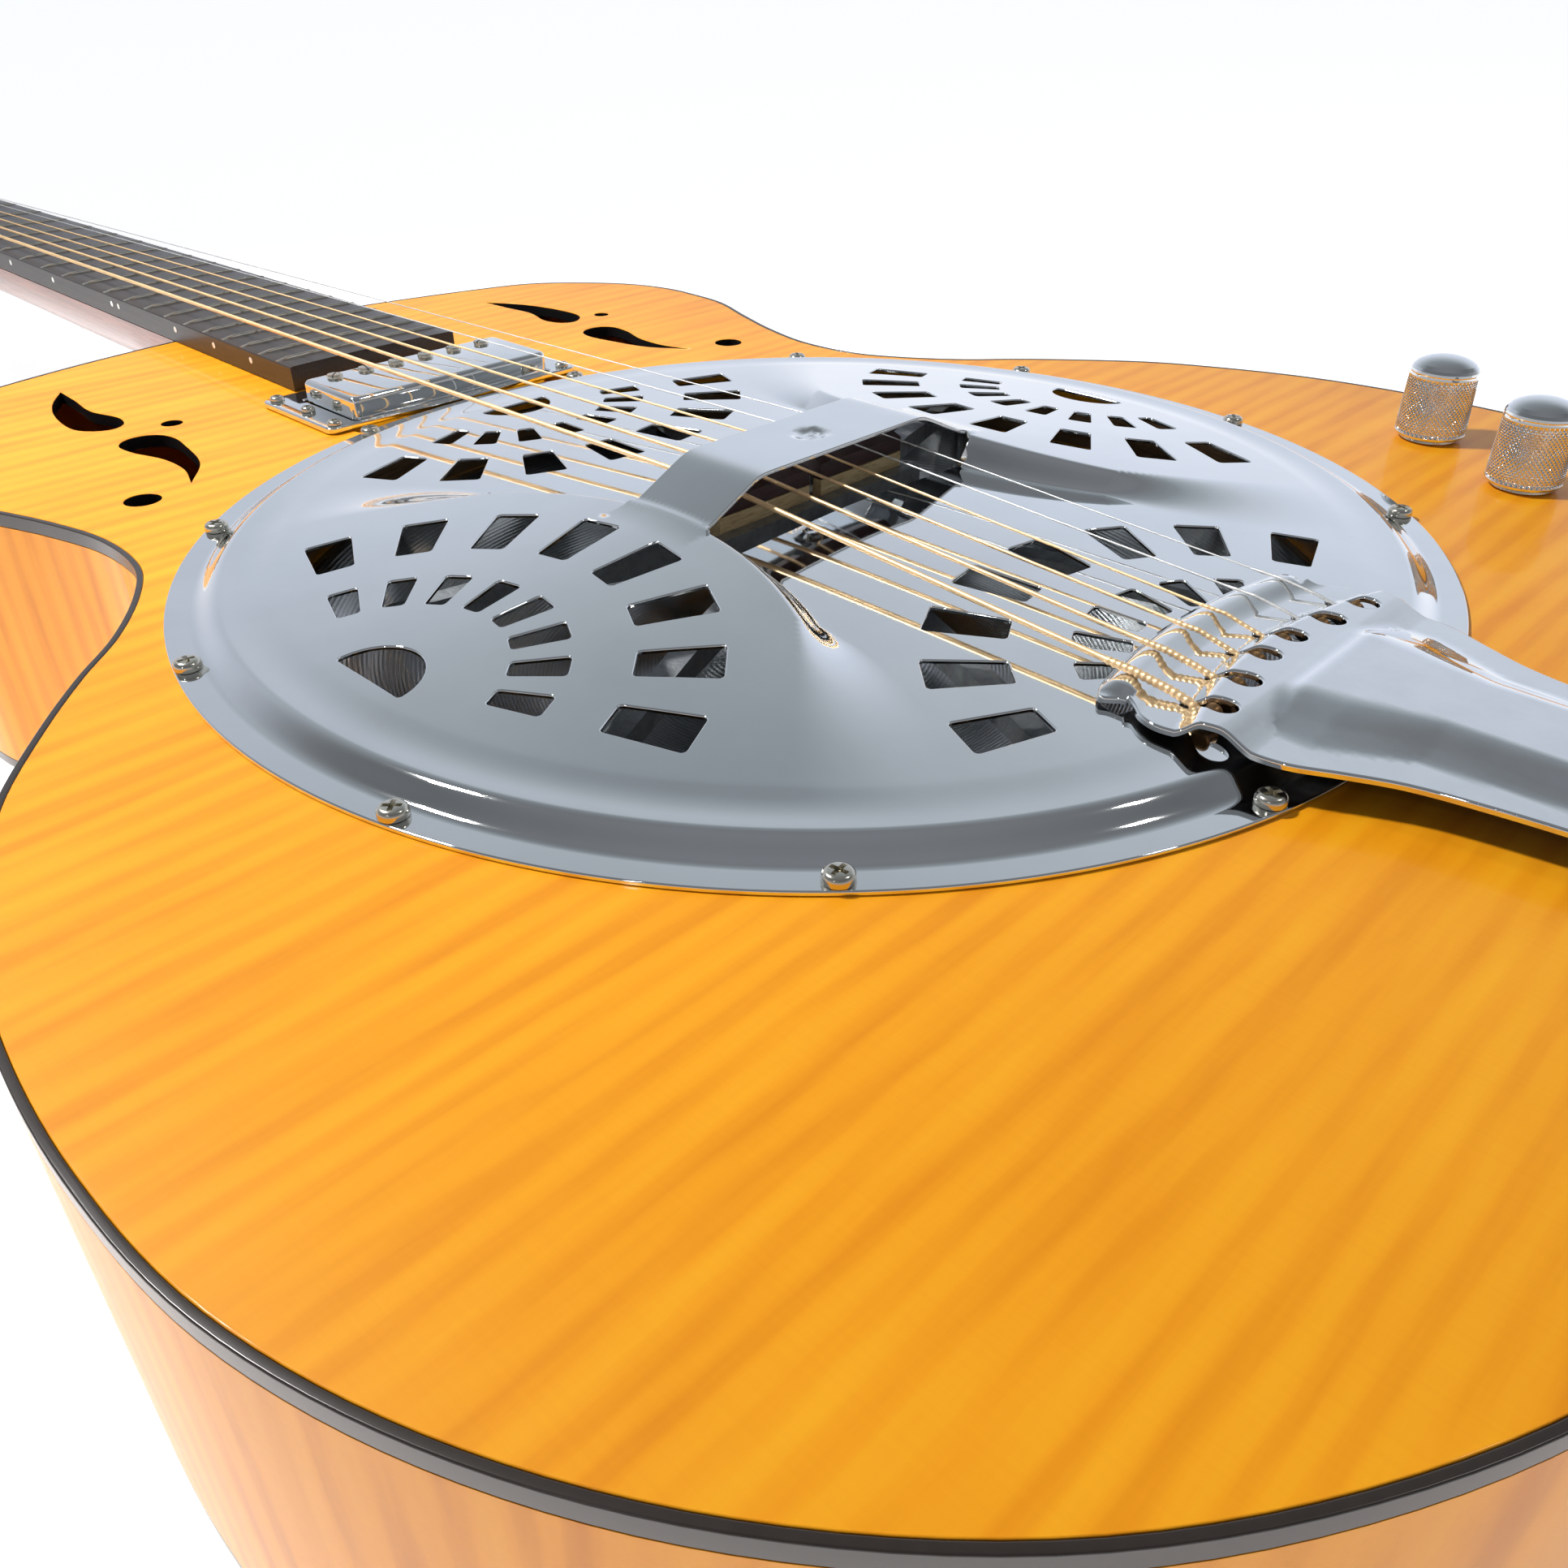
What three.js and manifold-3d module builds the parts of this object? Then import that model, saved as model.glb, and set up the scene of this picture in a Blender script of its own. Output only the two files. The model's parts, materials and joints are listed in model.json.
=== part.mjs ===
// Resonator guitar, lying on its back.
// Units mm. +X towards the tail, +Y treble side, +Z up out of the soundboard.
// Shapes are drawn with the origin at the cover plate's centre, on the soundboard's face,
// and the finished group is moved so that its origin is the bottom centre of its bounding box.
import * as THREE from 'three';
import { mergeVertices } from 'three/addons/utils/BufferGeometryUtils.js';
import Module from 'manifold-3d';

const wasm = await Module();
wasm.setup();

// ---------- driving dimensions ----------
const SHIFT_X = 285.1;         // cover centre from the bounding box's centre
const DEPTH = 82;              // body depth at the rim
const SCALE = 628.65;          // string length from nut to saddle
const SADDLE_X = -1.8;
const FRETS = 20;
const TOP_T = 3.6;             // soundboard thickness
const BACK_T = 3.2;
const SIDE_T = 3.0;
const WELL_R = 134.5;          // hole in the soundboard for the resonator
const COVER_R = 142.5;
const COVER_T = 1.0;
const FAN_C = 117.3;           // centre of each fan of slots, from the cover's centre
const SCREW_C = 139.7;        // circle of the cover screws
const PALM_Z = 22.5;           // top of the hand rest
const BOARD_Z = 8.0;           // fingerboard's playing face
const NUT_HALF = 22.25;        // half width at the nut
const END_HALF = 29.3;         // half width at the fingerboard's end
const BOARD_END = -190.5;
const BODY_JOIN = -278;
const HEAD_TILT = 14 * Math.PI / 180;
const HEAD_LEN = 186;
const HEAD_T = 15;
const GEAR_TEETH = 14;
const WORM_LEAD = 2.468;
const GEAR_C = 8.5;            // gear axis to worm axis

const deg = Math.PI / 180;
const NUT_X = SADDLE_X - SCALE;

// ---------- helpers ----------
const group = new THREE.Group();
const finishes = {
  maple: [0xe6a545, 0.25, 0], mahogany: [0x6a3320, 0.35, 0], rosewood: [0x2c1a12, 0.5, 0],
  bone: [0xe9e2cf, 0.4, 0], chrome: [0xd4d8dc, 0.12, 1], nickel: [0xb9b4a8, 0.25, 1],
  aluminium: [0xb8bcc0, 0.35, 1], cast: [0x8c9094, 0.55, 1], ebony: [0x2a1210, 0.4, 0],
  rawmaple: [0xd9b87a, 0.6, 0], ply: [0xc79a5b, 0.7, 0], bronze: [0xb98a4e, 0.3, 1],
  steel: [0xc8c8c8, 0.25, 1], black: [0x101010, 0.4, 0], brass: [0xc8a24a, 0.3, 1],
};
function toM(geo) {
  const g = new THREE.BufferGeometry();
  g.setAttribute('position', geo.getAttribute('position').clone());
  if (geo.index) g.setIndex(geo.index.clone());
  const m = mergeVertices(g, 1e-4);
  const mesh = new wasm.Mesh({ numProp: 3, vertProperties: Float32Array.from(m.getAttribute('position').array), triVerts: Uint32Array.from(m.index.array) });
  return new wasm.Manifold(mesh);
}
function toG(man) {
  const m = man.simplify(0.004).getMesh();
  const g = new THREE.BufferGeometry();
  g.setAttribute('position', new THREE.BufferAttribute(Float32Array.from(m.vertProperties), 3));
  g.setIndex(new THREE.BufferAttribute(Uint32Array.from(m.triVerts), 1));
  return g;
}
function put(name, solid, finish) {
  const [color, roughness, metalness] = finishes[finish];
  const geo = toG(solid);
  geo.computeVertexNormals();
  const mesh = new THREE.Mesh(geo, new THREE.MeshStandardMaterial({ color, roughness, metalness }));
  mesh.name = name;
  group.add(mesh);
}
const area = pts => pts.reduce((a, p, i) => { const q = pts[(i + 1) % pts.length]; return a + p[0] * q[1] - q[0] * p[1]; }, 0) / 2;
const ccw = pts => area(pts) < 0 ? pts.slice().reverse() : pts;
function slab(pts, z0, z1, holes = []) {
  pts = ccw(pts);
  const s = new THREE.Shape(pts.map(p => new THREE.Vector2(p[0], p[1])));
  for (const h of holes) s.holes.push(new THREE.Path(h.map(p => new THREE.Vector2(p[0], p[1]))));
  const g = new THREE.ExtrudeGeometry(s, { depth: z1 - z0, bevelEnabled: false, steps: 1 });
  g.translate(0, 0, z0);
  return toM(g);
}
function box(x0, x1, y0, y1, z0, z1) {
  const g = new THREE.BoxGeometry(x1 - x0, y1 - y0, z1 - z0);
  g.translate((x0 + x1) / 2, (y0 + y1) / 2, (z0 + z1) / 2);
  return toM(g);
}
function cyl(x, y, z0, z1, r, n = 16, r2 = r) {
  const g = new THREE.CylinderGeometry(r2, r, z1 - z0, n);
  g.rotateX(Math.PI / 2);
  g.translate(x, y, (z0 + z1) / 2);
  return toM(g);
}
// profile of [r, z] pairs, closed or touching the axis at both ends
function lathe(profile, n, closed = false) {
  const p = profile.map(q => new THREE.Vector2(q[0], q[1]));
  if (closed) p.push(p[0].clone());
  const g = new THREE.LatheGeometry(p, n);
  g.rotateX(Math.PI / 2);
  let m = toM(g);
  if (m.volume() < 0) { const i = g.index.array; for (let k = 0; k < i.length; k += 3) { const t = i[k]; i[k] = i[k + 1]; i[k + 1] = t; } m = toM(g); }
  return m;
}
function ring(r, n = 48, cx = 0, cy = 0) {
  return Array.from({ length: n }, (_, i) => [cx + r * Math.cos(2 * Math.PI * i / n), cy + r * Math.sin(2 * Math.PI * i / n)]);
}
// solid through a list of equal-length rings of [x, y, z] points, capped at both ends
function loft(rings) {
  const n = rings[0].length, v = [], t = [];
  for (const r of rings) for (const p of r) v.push(...p);
  const c0 = rings[0].reduce((a, p) => a.map((s, i) => s + p[i] / n), [0, 0, 0]);
  const cl = rings.at(-1).reduce((a, p) => a.map((s, i) => s + p[i] / n), [0, 0, 0]);
  v.push(...c0, ...cl);
  const a0 = rings.length * n, al = a0 + 1, L = (rings.length - 1) * n;
  for (let k = 0; k < rings.length - 1; k++) for (let i = 0; i < n; i++) {
    const j = (i + 1) % n, a = k * n + i, b = k * n + j, c = a + n, d = b + n;
    t.push(a, b, d, a, d, c);
  }
  for (let i = 0; i < n; i++) { const j = (i + 1) % n; t.push(a0, j, i, al, L + i, L + j); }
  let mk = () => new wasm.Manifold(new wasm.Mesh({ numProp: 3, vertProperties: Float32Array.from(v), triVerts: Uint32Array.from(t) }));
  let m = mk();
  if (m.volume() < 0) { for (let k = 0; k < t.length; k += 3) { const s = t[k]; t[k] = t[k + 1]; t[k + 1] = s; } m = mk(); }
  return m;
}
// round cord of radius r through points, n sides
function cord(pts, r, n = 5) {
  const P = pts.map(p => new THREE.Vector3(...p));
  let nrm = new THREE.Vector3(0, 0, 1);
  const rings = P.map((p, i) => {
    const t = new THREE.Vector3().subVectors(P[Math.min(i + 1, P.length - 1)], P[Math.max(i - 1, 0)]).normalize();
    nrm = nrm.clone().sub(t.clone().multiplyScalar(nrm.dot(t)));
    if (nrm.length() < 1e-3) nrm = new THREE.Vector3(1, 0, 0);
    nrm.normalize();
    const b = new THREE.Vector3().crossVectors(t, nrm);
    return Array.from({ length: n }, (_, k) => {
      const a = 2 * Math.PI * k / n;
      const q = p.clone().addScaledVector(nrm, r * Math.cos(a)).addScaledVector(b, r * Math.sin(a));
      return [q.x, q.y, q.z];
    });
  });
  return loft(rings);
}
const smooth = t => { t = Math.max(0, Math.min(1, t)); return t * t * (3 - 2 * t); };
const join = list => list.reduce((a, b) => a.add(b));
const flipY = pts => pts.map(p => [p[0], -p[1]]).reverse();

// ---------- body outline ----------
const half = [[-278, 0], [-278, 28], [-275, 50], [-267, 85], [-258.5, 109.5], [-244.5, 125], [-227, 137], [-209.5, 142],
  [-195, 142], [-178, 140], [-157, 132], [-136, 124.5], [-115, 119.8], [-94, 121], [-80, 127],
  [-62.5, 139], [-50, 151], [-34.5, 164], [-15, 178], [4, 187], [25, 194.5], [45, 198.6], [72, 200.5],
  [100, 198.5], [128, 190], [155, 175], [180, 153], [200, 124], [214, 90], [223, 52], [227, 20], [227.5, 0]];
function outline(inset = 0, n = 28) {
  const c = new THREE.CatmullRomCurve3(half.slice(1).map(p => new THREE.Vector3(p[0], p[1], 0)), false, 'centripetal');
  const q = c.getSpacedPoints(n);
  const pts = q.map(p => [p.x, Math.max(0, p.y)]);
  const out = [];
  for (let i = 0; i < pts.length; i++) {
    const a = i ? pts[i - 1] : [-278, 0], b = i < pts.length - 1 ? pts[i + 1] : [pts[i][0], -pts[i - 1][1]];
    let tx = b[0] - a[0], ty = b[1] - a[1]; const l = Math.hypot(tx, ty); tx /= l; ty /= l;
    let p = [pts[i][0] + ty * inset, pts[i][1] - tx * inset];
    if (i === 0) p = [-278 + inset, pts[i][1] - inset * 0.15];
    if (i === pts.length - 1) p = [pts[i][0] - inset, 0];
    out.push(p);
  }
  const low = out.slice(0, -1).map(p => [p[0], -p[1]]).reverse();
  return out.concat(low);
}
const rim = outline(0);

// ---------- soundboard, back, sides ----------
const tear1 = [[-245, 79], [-232, 79.6], [-218, 80.6], [-205, 77.4], [-198, 79.4], [-196, 83.5], [-199, 88.5], [-204, 91], [-220, 90], [-233, 86]];
const tear2 = [[-184, 80], [-181.5, 76.2], [-176, 74.4], [-166, 75.4], [-150, 79], [-137, 87.5], [-148, 84.2], [-160, 84.4], [-172, 88], [-180, 88.2], [-183.6, 85]];
const dotsT = [ring(2.6, 10, -197, 97), ring(4.5, 12, -134, 101.5)], dotsB = [ring(3.0, 10, -189, -69), ring(4.5, 12, -134, -101.5)];
const fholes = [tear1, tear2];
const pickupHole = [[-177.2, -36.5], [-140.6, -36.5], [-140.6, 36.5], [-177.2, 36.5]];
const knobs = [[80, 162.5], [112, 141]];
// output jack in the widest part of the treble side
const JACK = { x: 72, y: Math.max(...rim.map(p => p[1])), z: -40, turn: 0 };
put('soundboard', slab(rim, -TOP_T, 0, [ring(WELL_R, 48), pickupHole, ...fholes, ...fholes.map(flipY), ...dotsT, ...dotsB,
  ...knobs.map(k => ring(4.2, 10, ...k)),
  ...Array.from({ length: 12 }, (_, k) => ring(1.75, 5, SCREW_C * Math.cos((15 + 30 * k) * deg), SCREW_C * Math.sin((15 + 30 * k) * deg)))]), 'maple');
put('back_plate', slab(rim, -DEPTH, -DEPTH + BACK_T), 'maple');
{
  let s = slab(rim, -DEPTH + BACK_T + 0.25, -TOP_T - 0.25, [outline(SIDE_T).reverse()]);
  s = s.subtract(box(-285, -270, -20.3, 20.3, -70.3, 0));
  const j = new THREE.CylinderGeometry(5.9, 5.9, 24, 10); j.rotateZ(JACK.turn * deg); j.translate(JACK.x, JACK.y, JACK.z);
  s = s.subtract(toM(j));
  const e = new THREE.CylinderGeometry(3.1, 3.1, 20, 12); e.rotateZ(90 * deg); e.translate(227, 0, -40);
  s = s.subtract(toM(e));
  put('sides', s, 'maple');
}
{
  let b = box(205, 222.4, -26, 26, -DEPTH + BACK_T + 0.4, -TOP_T - 0.4);
  const e = new THREE.CylinderGeometry(2.4, 2.4, 60, 12); e.rotateZ(90 * deg); e.translate(223, 0, -40);
  put('tail_block', b.subtract(toM(e)), 'rawmaple');
}

// ---------- soundwell, cone, spider ----------
{
  let w = lathe([[124, -13], [134.6, -13], [134.6, -TOP_T - 0.25], [140.5, -TOP_T - 0.25], [140.5, -16.5], [131.5, -22], [131.5, -DEPTH + BACK_T + 0.4], [124, -DEPTH + BACK_T + 0.4]], 36, true);
  for (let k = 0; k < 6; k++) {
    const a = (k * 60 + 30) * deg, h = new THREE.CylinderGeometry(15, 15, 30, 6);
    h.rotateZ(90 * deg); h.translate(128, 0, -50); h.rotateZ(a);
    w = w.subtract(toM(h));
  }
  put('soundwell', w, 'ply');
}
{
  const t = 0.7;
  const up = [[0, -21.3], [9, -21.3], [32, -33], [50, -36.5], [68, -35.2], [94, -26], [121.5, -12.0], [133.6, -12.0]];
  const dn = up.slice(1).map(p => [p[0] + (p[0] > 122.5 ? 0 : 0.12), p[1] - t]).reverse();
  let c = lathe([...up, ...dn, [0, -21.3 - t]], 24);
  put('resonator_cone', c.subtract(cyl(-1.2, 0, -30, -10, 1.75, 10)), 'aluminium');
}
{
  let s = box(-7.5, 5.2, -34, 34, 0.5, 7.5).add(cyl(-1.2, 0, -3.5, 0.6, 12, 16, 14));
  for (let k = 0; k < 8; k++) {
    const a = (k * 45 + 22.5) * deg;
    const w0 = 3.2, w1 = 2.2;
    const leg = loft([
      [[8, -w0, -3.4], [8, w0, -3.4], [8, w0, 2.6], [8, -w0, 2.6]],
      [[70, -2.6, -4.6], [70, 2.6, -4.6], [70, 2.6, 0.6], [70, -2.6, 0.6]],
      [[118, -w1, -8.6], [118, w1, -8.6], [118, w1, -4.4], [118, -w1, -4.4]],
      [[130, -w1, -11.7], [130, w1, -11.7], [130, w1, -7.6], [130, -w1, -7.6]]]);
    s = s.add(leg.rotate([0, 0, a / deg]));
  }
  s = s.subtract(box(-4.4, 1.9, -36, 36, 3.2, 9)).subtract(cyl(-1.2, 0, -6, 9, 1.85, 10));
  put('spider_bridge', s, 'cast');
}
put('spider_screw', cyl(-1.2, 0, -24.5, 10.2, 1.5, 10).add(cyl(-1.2, 0, 10, 12.6, 1.78, 10)), 'nickel');

// ---------- strings: gauge radius, positions at saddle, nut, tailpiece, post ----------
const gauges = [0.66, 0.53, 0.42, 0.33, 0.21, 0.165];
const ySad = [-26, -15.6, -5.2, 5.2, 15.6, 26];
const yNut = [-17.8, -10.7, -3.6, 3.6, 10.7, 17.8];
const yTail = [-27.4, -16.3, -5, 5, 16.3, 27.4];
const LIP_X = 100, LIP_Z = 8.8;  // crest of the tailpiece's rounded front edge
const xTail = [113.9, 112.4, 110.3, 110.3, 112.4, 113.9];
const SAD_Z = 15.6, NUT_Z = BOARD_Z + 1.15;
// headstock frame: u from the nut outwards, w across, n out of the face
const HX = NUT_X - 4.9, HZ = 0.0;
const hs = (u, w, n) => [HX - u * Math.cos(HEAD_TILT) + n * Math.sin(HEAD_TILT) * -1, w, HZ - u * Math.sin(HEAD_TILT) + n * Math.cos(HEAD_TILT)];
// posts: bass side lowest string nearest the nut
const posts = [[42, -24], [84, -26.5], [126, -29], [126, 29], [84, 26.5], [42, 24]];
const POST_R = 3.0, POST_TOP = 13.2;
const strings = gauges.map((r, i) => {
  const [pu, pw] = posts[i], side = pw < 0 ? -1 : 1;
  const wr = POST_R + 0.1 + r;
  const nutOut = [NUT_X - 4.9, yNut[i], NUT_Z + r + 0.1 - 0.75];
  // the string runs on the inner side of its post and winds down it
  const pts = [[xTail[i] + 1.5, yTail[i], 7.5 + r], [LIP_X + 5, yTail[i] - 0.02 * yTail[i], 8.75 + r], [LIP_X - 1, yTail[i], LIP_Z + 0.35 + r], [SADDLE_X + 1.6, ySad[i], SAD_Z + r + 0.1], [SADDLE_X - 1.4, ySad[i], SAD_Z + r + 0.1],
    [NUT_X, yNut[i], NUT_Z + r], nutOut];
  const u0 = 0, w0 = yNut[i];
  // tangent from (0, w0) to the circle round the post, inner side
  const du = pu - u0, dw = pw - w0, d = Math.hypot(du, dw), phi = Math.atan2(dw, du), al = Math.acos(wr / d);
  // centre to tangent point direction
  const dir = phi + Math.PI + side * al;
  const turns = 1.5, seg = 8;
  const nTop = 9.6;
  for (let k = 0; k <= Math.round(turns * seg); k++) {
    const a = dir + side * (k * 2 * Math.PI / seg);
    pts.push(hs(pu + wr / Math.cos(Math.PI / seg) * Math.cos(a), pw + wr / Math.cos(Math.PI / seg) * Math.sin(a), nTop - (k / seg) * (2 * r + 0.25)));
  }
  return { pts, r };
});
const fat = strings.map(s => cord(s.pts.slice(3, 7), s.r + 0.12, 6));
const names = ['string_low_e', 'string_a', 'string_d', 'string_g', 'string_b', 'string_high_e'];
strings.forEach((s, i) => put(names[i], cord(s.pts, s.r, 5), i < 4 ? 'bronze' : 'steel'));

// ---------- saddle halves, grooved for the strings ----------
for (const [name, y0, y1, k] of [['bass', -30.5, -2, 0], ['treble', 2, 30.5, 3]]) {
  put('saddle_base_' + name, box(-4.1, 1.6, y0, y1, 3.5, 11), 'rawmaple');
  const zt = y => SAD_Z + 0.52 - 0.00047 * y * y;
  const a = k ? y0 : y1, b = k ? y1 : y0;
  const cs = y => [[-4.1, y, 11.2], [1.6, y, 11.2], [1.6, y, zt(y) - 1.2], [-1.2, y, zt(y)], [-4.1, y, zt(y) - 0.9]];
  let cap = loft([cs(a), cs((a + b) / 2), cs(b)]);
  for (let j = k; j < k + 3; j++) {
    cap = cap.subtract(cord([[4, ySad[j], SAD_Z + gauges[j] - 0.4], [SADDLE_X + 1.6, ySad[j], SAD_Z + gauges[j] + 0.1], [SADDLE_X - 4, ySad[j], SAD_Z + gauges[j] + 0.1]], gauges[j] + 0.12, 6));
    cap = cap.subtract(fat[j]);
  }
  put('saddle_cap_' + name, cap, 'ebony');
}

// ---------- cover plate ----------
function coverZ(x, y) {
  const r = Math.hypot(x, y);
  if (r > 133) return 1.3;
  if (r > 125) return 1.3 + 3.1 * smooth((133 - r) / 8);
  const zb = 4.4 + (125 - r) * 0.043, za = 4.4 + (125 - r) * 0.127;
  const ax = Math.abs(x), ay = Math.abs(y), g = 39.7 + 16.3 * Math.pow(ax / 56, 2.2), w = 3.6 + 0.45 * Math.max(0, ax - 48);
  return zb + (za - zb) * smooth((ay - g + w) / (2 * w));
}
function fanSlots(dir) {
  const c = Math.cos(dir), s = Math.sin(dir), out = [];
  const place = (a, rr) => [c * (FAN_C - rr * Math.cos(a)) - s * rr * Math.sin(a), s * (FAN_C - rr * Math.cos(a)) + c * rr * Math.sin(a)];
  for (const a0 of [9.4, 28.4, 47.3, 66.2]) for (const q of [-1, 1]) for (const [r0, r1, aw] of [[49.3, 65.5, 8.9], [26.2, 37.4, 9.4]]) {
    const a = q * a0 * deg, h = aw / 2 * deg;
    out.push([place(a - h, r0), place(a - h, r1), place(a + h, r1), place(a + h, r0)]);
  }
  const moon = [];
  for (let b = 0; b <= 6; b++) moon.push(place((-90 + b * 30) * deg, 10.6));
  out.push(moon);
  return out;
}
{
  const NA = 36, radii = [COVER_R, 133.5, 129, 124.5, 104, 84, 66, 54, 46.5, 36];
  const v = [], t = [];
  const R = radii.length;
  for (const side of [0, 1]) for (const r of radii) for (let i = 0; i < NA; i++) {
    const a = 2 * Math.PI * i / NA, x = r * Math.cos(a), y = r * Math.sin(a);
    v.push(x, y, coverZ(x, y) - side * COVER_T);
  }
  v.push(0, 0, coverZ(0, 0), 0, 0, coverZ(0, 0) - COVER_T);
  const id = (s, k, i) => (s * R + k) * NA + (i % NA), cT = 2 * R * NA, cB = cT + 1;
  for (let i = 0; i < NA; i++) {
    for (let k = 0; k < R - 1; k++) {
      t.push(id(0, k, i), id(0, k, i + 1), id(0, k + 1, i + 1), id(0, k, i), id(0, k + 1, i + 1), id(0, k + 1, i));
      t.push(id(1, k, i), id(1, k + 1, i + 1), id(1, k, i + 1), id(1, k, i), id(1, k + 1, i), id(1, k + 1, i + 1));
    }
    t.push(id(0, R - 1, i), id(0, R - 1, i + 1), cT, id(1, R - 1, i + 1), id(1, R - 1, i), cB);
    t.push(id(0, 0, i), id(1, 0, i), id(1, 0, i + 1), id(0, 0, i), id(1, 0, i + 1), id(0, 0, i + 1));
  }
  let c = new wasm.Manifold(new wasm.Mesh({ numProp: 3, vertProperties: Float32Array.from(v), triVerts: Uint32Array.from(t) }));
  // hand rest: flat bridge on two sloping legs
  const rest = [];
  const legZ = [[26.5, PALM_Z], [28, 22], [43.5, 14.6], [47, 14.1]];
  const top = [...legZ.slice().reverse().map(p => [-p[0], p[1]]), ...legZ];
  const low = legZ.map((p, i) => [p[0] - (i ? 0.55 : 0.3), p[1] - 1.15]);
  const bot = [...low.slice().reverse().map(p => [-p[0], p[1]]), ...low];
  const prof = x => [...top.map(p => [x, p[0], p[1]]), ...bot.slice().reverse().map(p => [x, p[0], p[1]])];
  const sh = new THREE.Shape([...top, ...bot.slice().reverse()].map(p => new THREE.Vector2(p[0], p[1])));
  const eg = new THREE.ExtrudeGeometry(sh, { depth: 23, bevelEnabled: false });
  // profile plane (y, z) swept along x
  const pa = eg.getAttribute('position');
  for (let i = 0; i < pa.count; i++) { const y = pa.getX(i), z = pa.getY(i), x = pa.getZ(i); pa.setXYZ(i, x - 12, y, z); }
  c = c.subtract(slab([[-14, -42], [13, -42], [13, 42], [-14, 42]], 0, 18));
  c = c.add(toM(eg));
  for (const d of [0, 90, 180, 270]) for (const s of fanSlots(d * deg)) {
    let ar = 0; for (let i = 0; i < s.length; i++) { const p = s[i], q = s[(i + 1) % s.length]; ar += p[0] * q[1] - q[0] * p[1]; }
    c = c.subtract(slab(ar < 0 ? s.slice().reverse() : s, -4, 16));
  }
  for (let k = 0; k < 12; k++) { const a = (15 + 30 * k) * deg; c = c.subtract(cyl(SCREW_C * Math.cos(a), SCREW_C * Math.sin(a), -1, 3, 1.8, 8)); }
  put('cover_plate', c, 'chrome');
  for (let k = 0; k < 12; k++) {
    const a = (15 + 30 * k) * deg;
    let s = lathe([[0, -3.2], [1.3, -3.2], [1.3, 1.55], [2.75, 1.55], [2.75, 2.6], [0, 3.8]], 8);
    s = s.rotate([0, 0, 45 * (k % 2)]).translate([SCREW_C * Math.cos(a), SCREW_C * Math.sin(a), 0]);
    put('cover_screw_' + String(k + 1).padStart(2, '0'), s, 'nickel');
  }
}

// ---------- neck with headstock ----------
const boardHalf = x => NUT_HALF + (END_HALF - NUT_HALF) * (x - NUT_X) / (BOARD_END - NUT_X);
const headShape = [[-9, 21.6], [6, 21.8], [18, 27], [30, 32.5], [60, 34.5], [110, 37.6], [150, 40], [170, 38.5], [181, 30], [184, 18], [181, 8], [183, 0]];
{
  const sec = (x, w, d, flat) => {
    const p = [];
    for (let k = 0; k <= 10; k++) {
      const a = Math.PI * k / 10, cx = Math.cos(a), sx = Math.sin(a);
      p.push([x, w * Math.sign(cx) * Math.pow(Math.abs(cx), flat), -d * Math.pow(sx, flat)]);
    }
    return p;
  };
  let n = loft([sec(NUT_X - 12, 21.6, 15, 0.9), sec(NUT_X + 14, boardHalf(NUT_X + 14), 19.5, 0.9), sec(-330, boardHalf(-330), 22, 0.9),
    sec(-306, boardHalf(-306), 25, 0.8), sec(-296, boardHalf(-296), 45, 0.6), sec(-286, boardHalf(-286), 72, 0.45), sec(-278.4, boardHalf(-278.4), 74, 0.4)]);
  const up = headShape, pts = up.concat(up.slice(0, -1).map(p => [p[0], -p[1]]).reverse());
  let h = slab(pts.map(p => [-p[0], p[1]]).reverse(), -HEAD_T, 0);
  h = h.rotate([0, -HEAD_TILT / deg, 0]).translate([HX, 0, HZ]);
  n = n.add(h);
  // the face of the head starts behind the nut
  n = n.subtract(box(NUT_X - 60, NUT_X + 40, -60, 60, 0, 20));
  n = n.add(box(-279, -262, -20, 20, -70, -TOP_T - 0.3));
  for (const [u, w] of posts) {
    let c = cyl(0, 0, -30, 10, 3.3, 10);
    c = c.translate([0, 0, 0]).rotate([0, -HEAD_TILT / deg, 0]);
    const o = hs(u, w, 0);
    n = n.subtract(c.translate(o));
  }
  put('neck', n, 'mahogany');
}
{
  // fingerboard with its frets standing in their slots
  const y0 = boardHalf(NUT_X + 0.3), y1 = END_HALF;
  const bp = (h0, h1, z) => [[NUT_X + 0.3, -y0 + h0, z], [BOARD_END, -y1 + h1, z], [BOARD_END, y1 - h1, z], [NUT_X + 0.3, y0 - h0, z]];
  let b = slab([[NUT_X + 0.3, -y0], [BOARD_END, -y1], [BOARD_END, y1], [NUT_X + 0.3, y0]], 0.3, BOARD_Z);
  for (let k = 1; k <= FRETS; k++) {
    const x = SADDLE_X - SCALE / Math.pow(2, k / 12), w = boardHalf(x) - 0.4;
    b = b.add(box(x - 1, x + 1, -w, w, BOARD_Z - 1, BOARD_Z + 0.95));
  }
  put('fingerboard', b, 'rosewood');
}
{
  let n = box(NUT_X - 4.7, NUT_X, -NUT_HALF, NUT_HALF, 0.3, BOARD_Z + 2.0);
  gauges.forEach((r, i) => { n = n.subtract(cord([[NUT_X + 0.2, yNut[i], NUT_Z + r], [NUT_X - 6, yNut[i], NUT_Z + r - 0.8]], r + 0.14, 6)); n = n.subtract(box(NUT_X - 6, NUT_X + 1, yNut[i] - r * 0.9, yNut[i] + r * 0.9, NUT_Z + r, 12)); });
  put('nut', n, 'bone');
}
{
  const c = slab([[0, -9.5], [9, -11], [30, -4], [33, 0], [30, 4], [9, 11], [0, 9.5]].map(p => [-p[0] - 11, p[1]]).reverse(), 0.25, 2.2);
  put('truss_rod_cover', c.rotate([0, -HEAD_TILT / deg, 0]).translate([HX, 0, HZ]), 'black');
}

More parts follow.
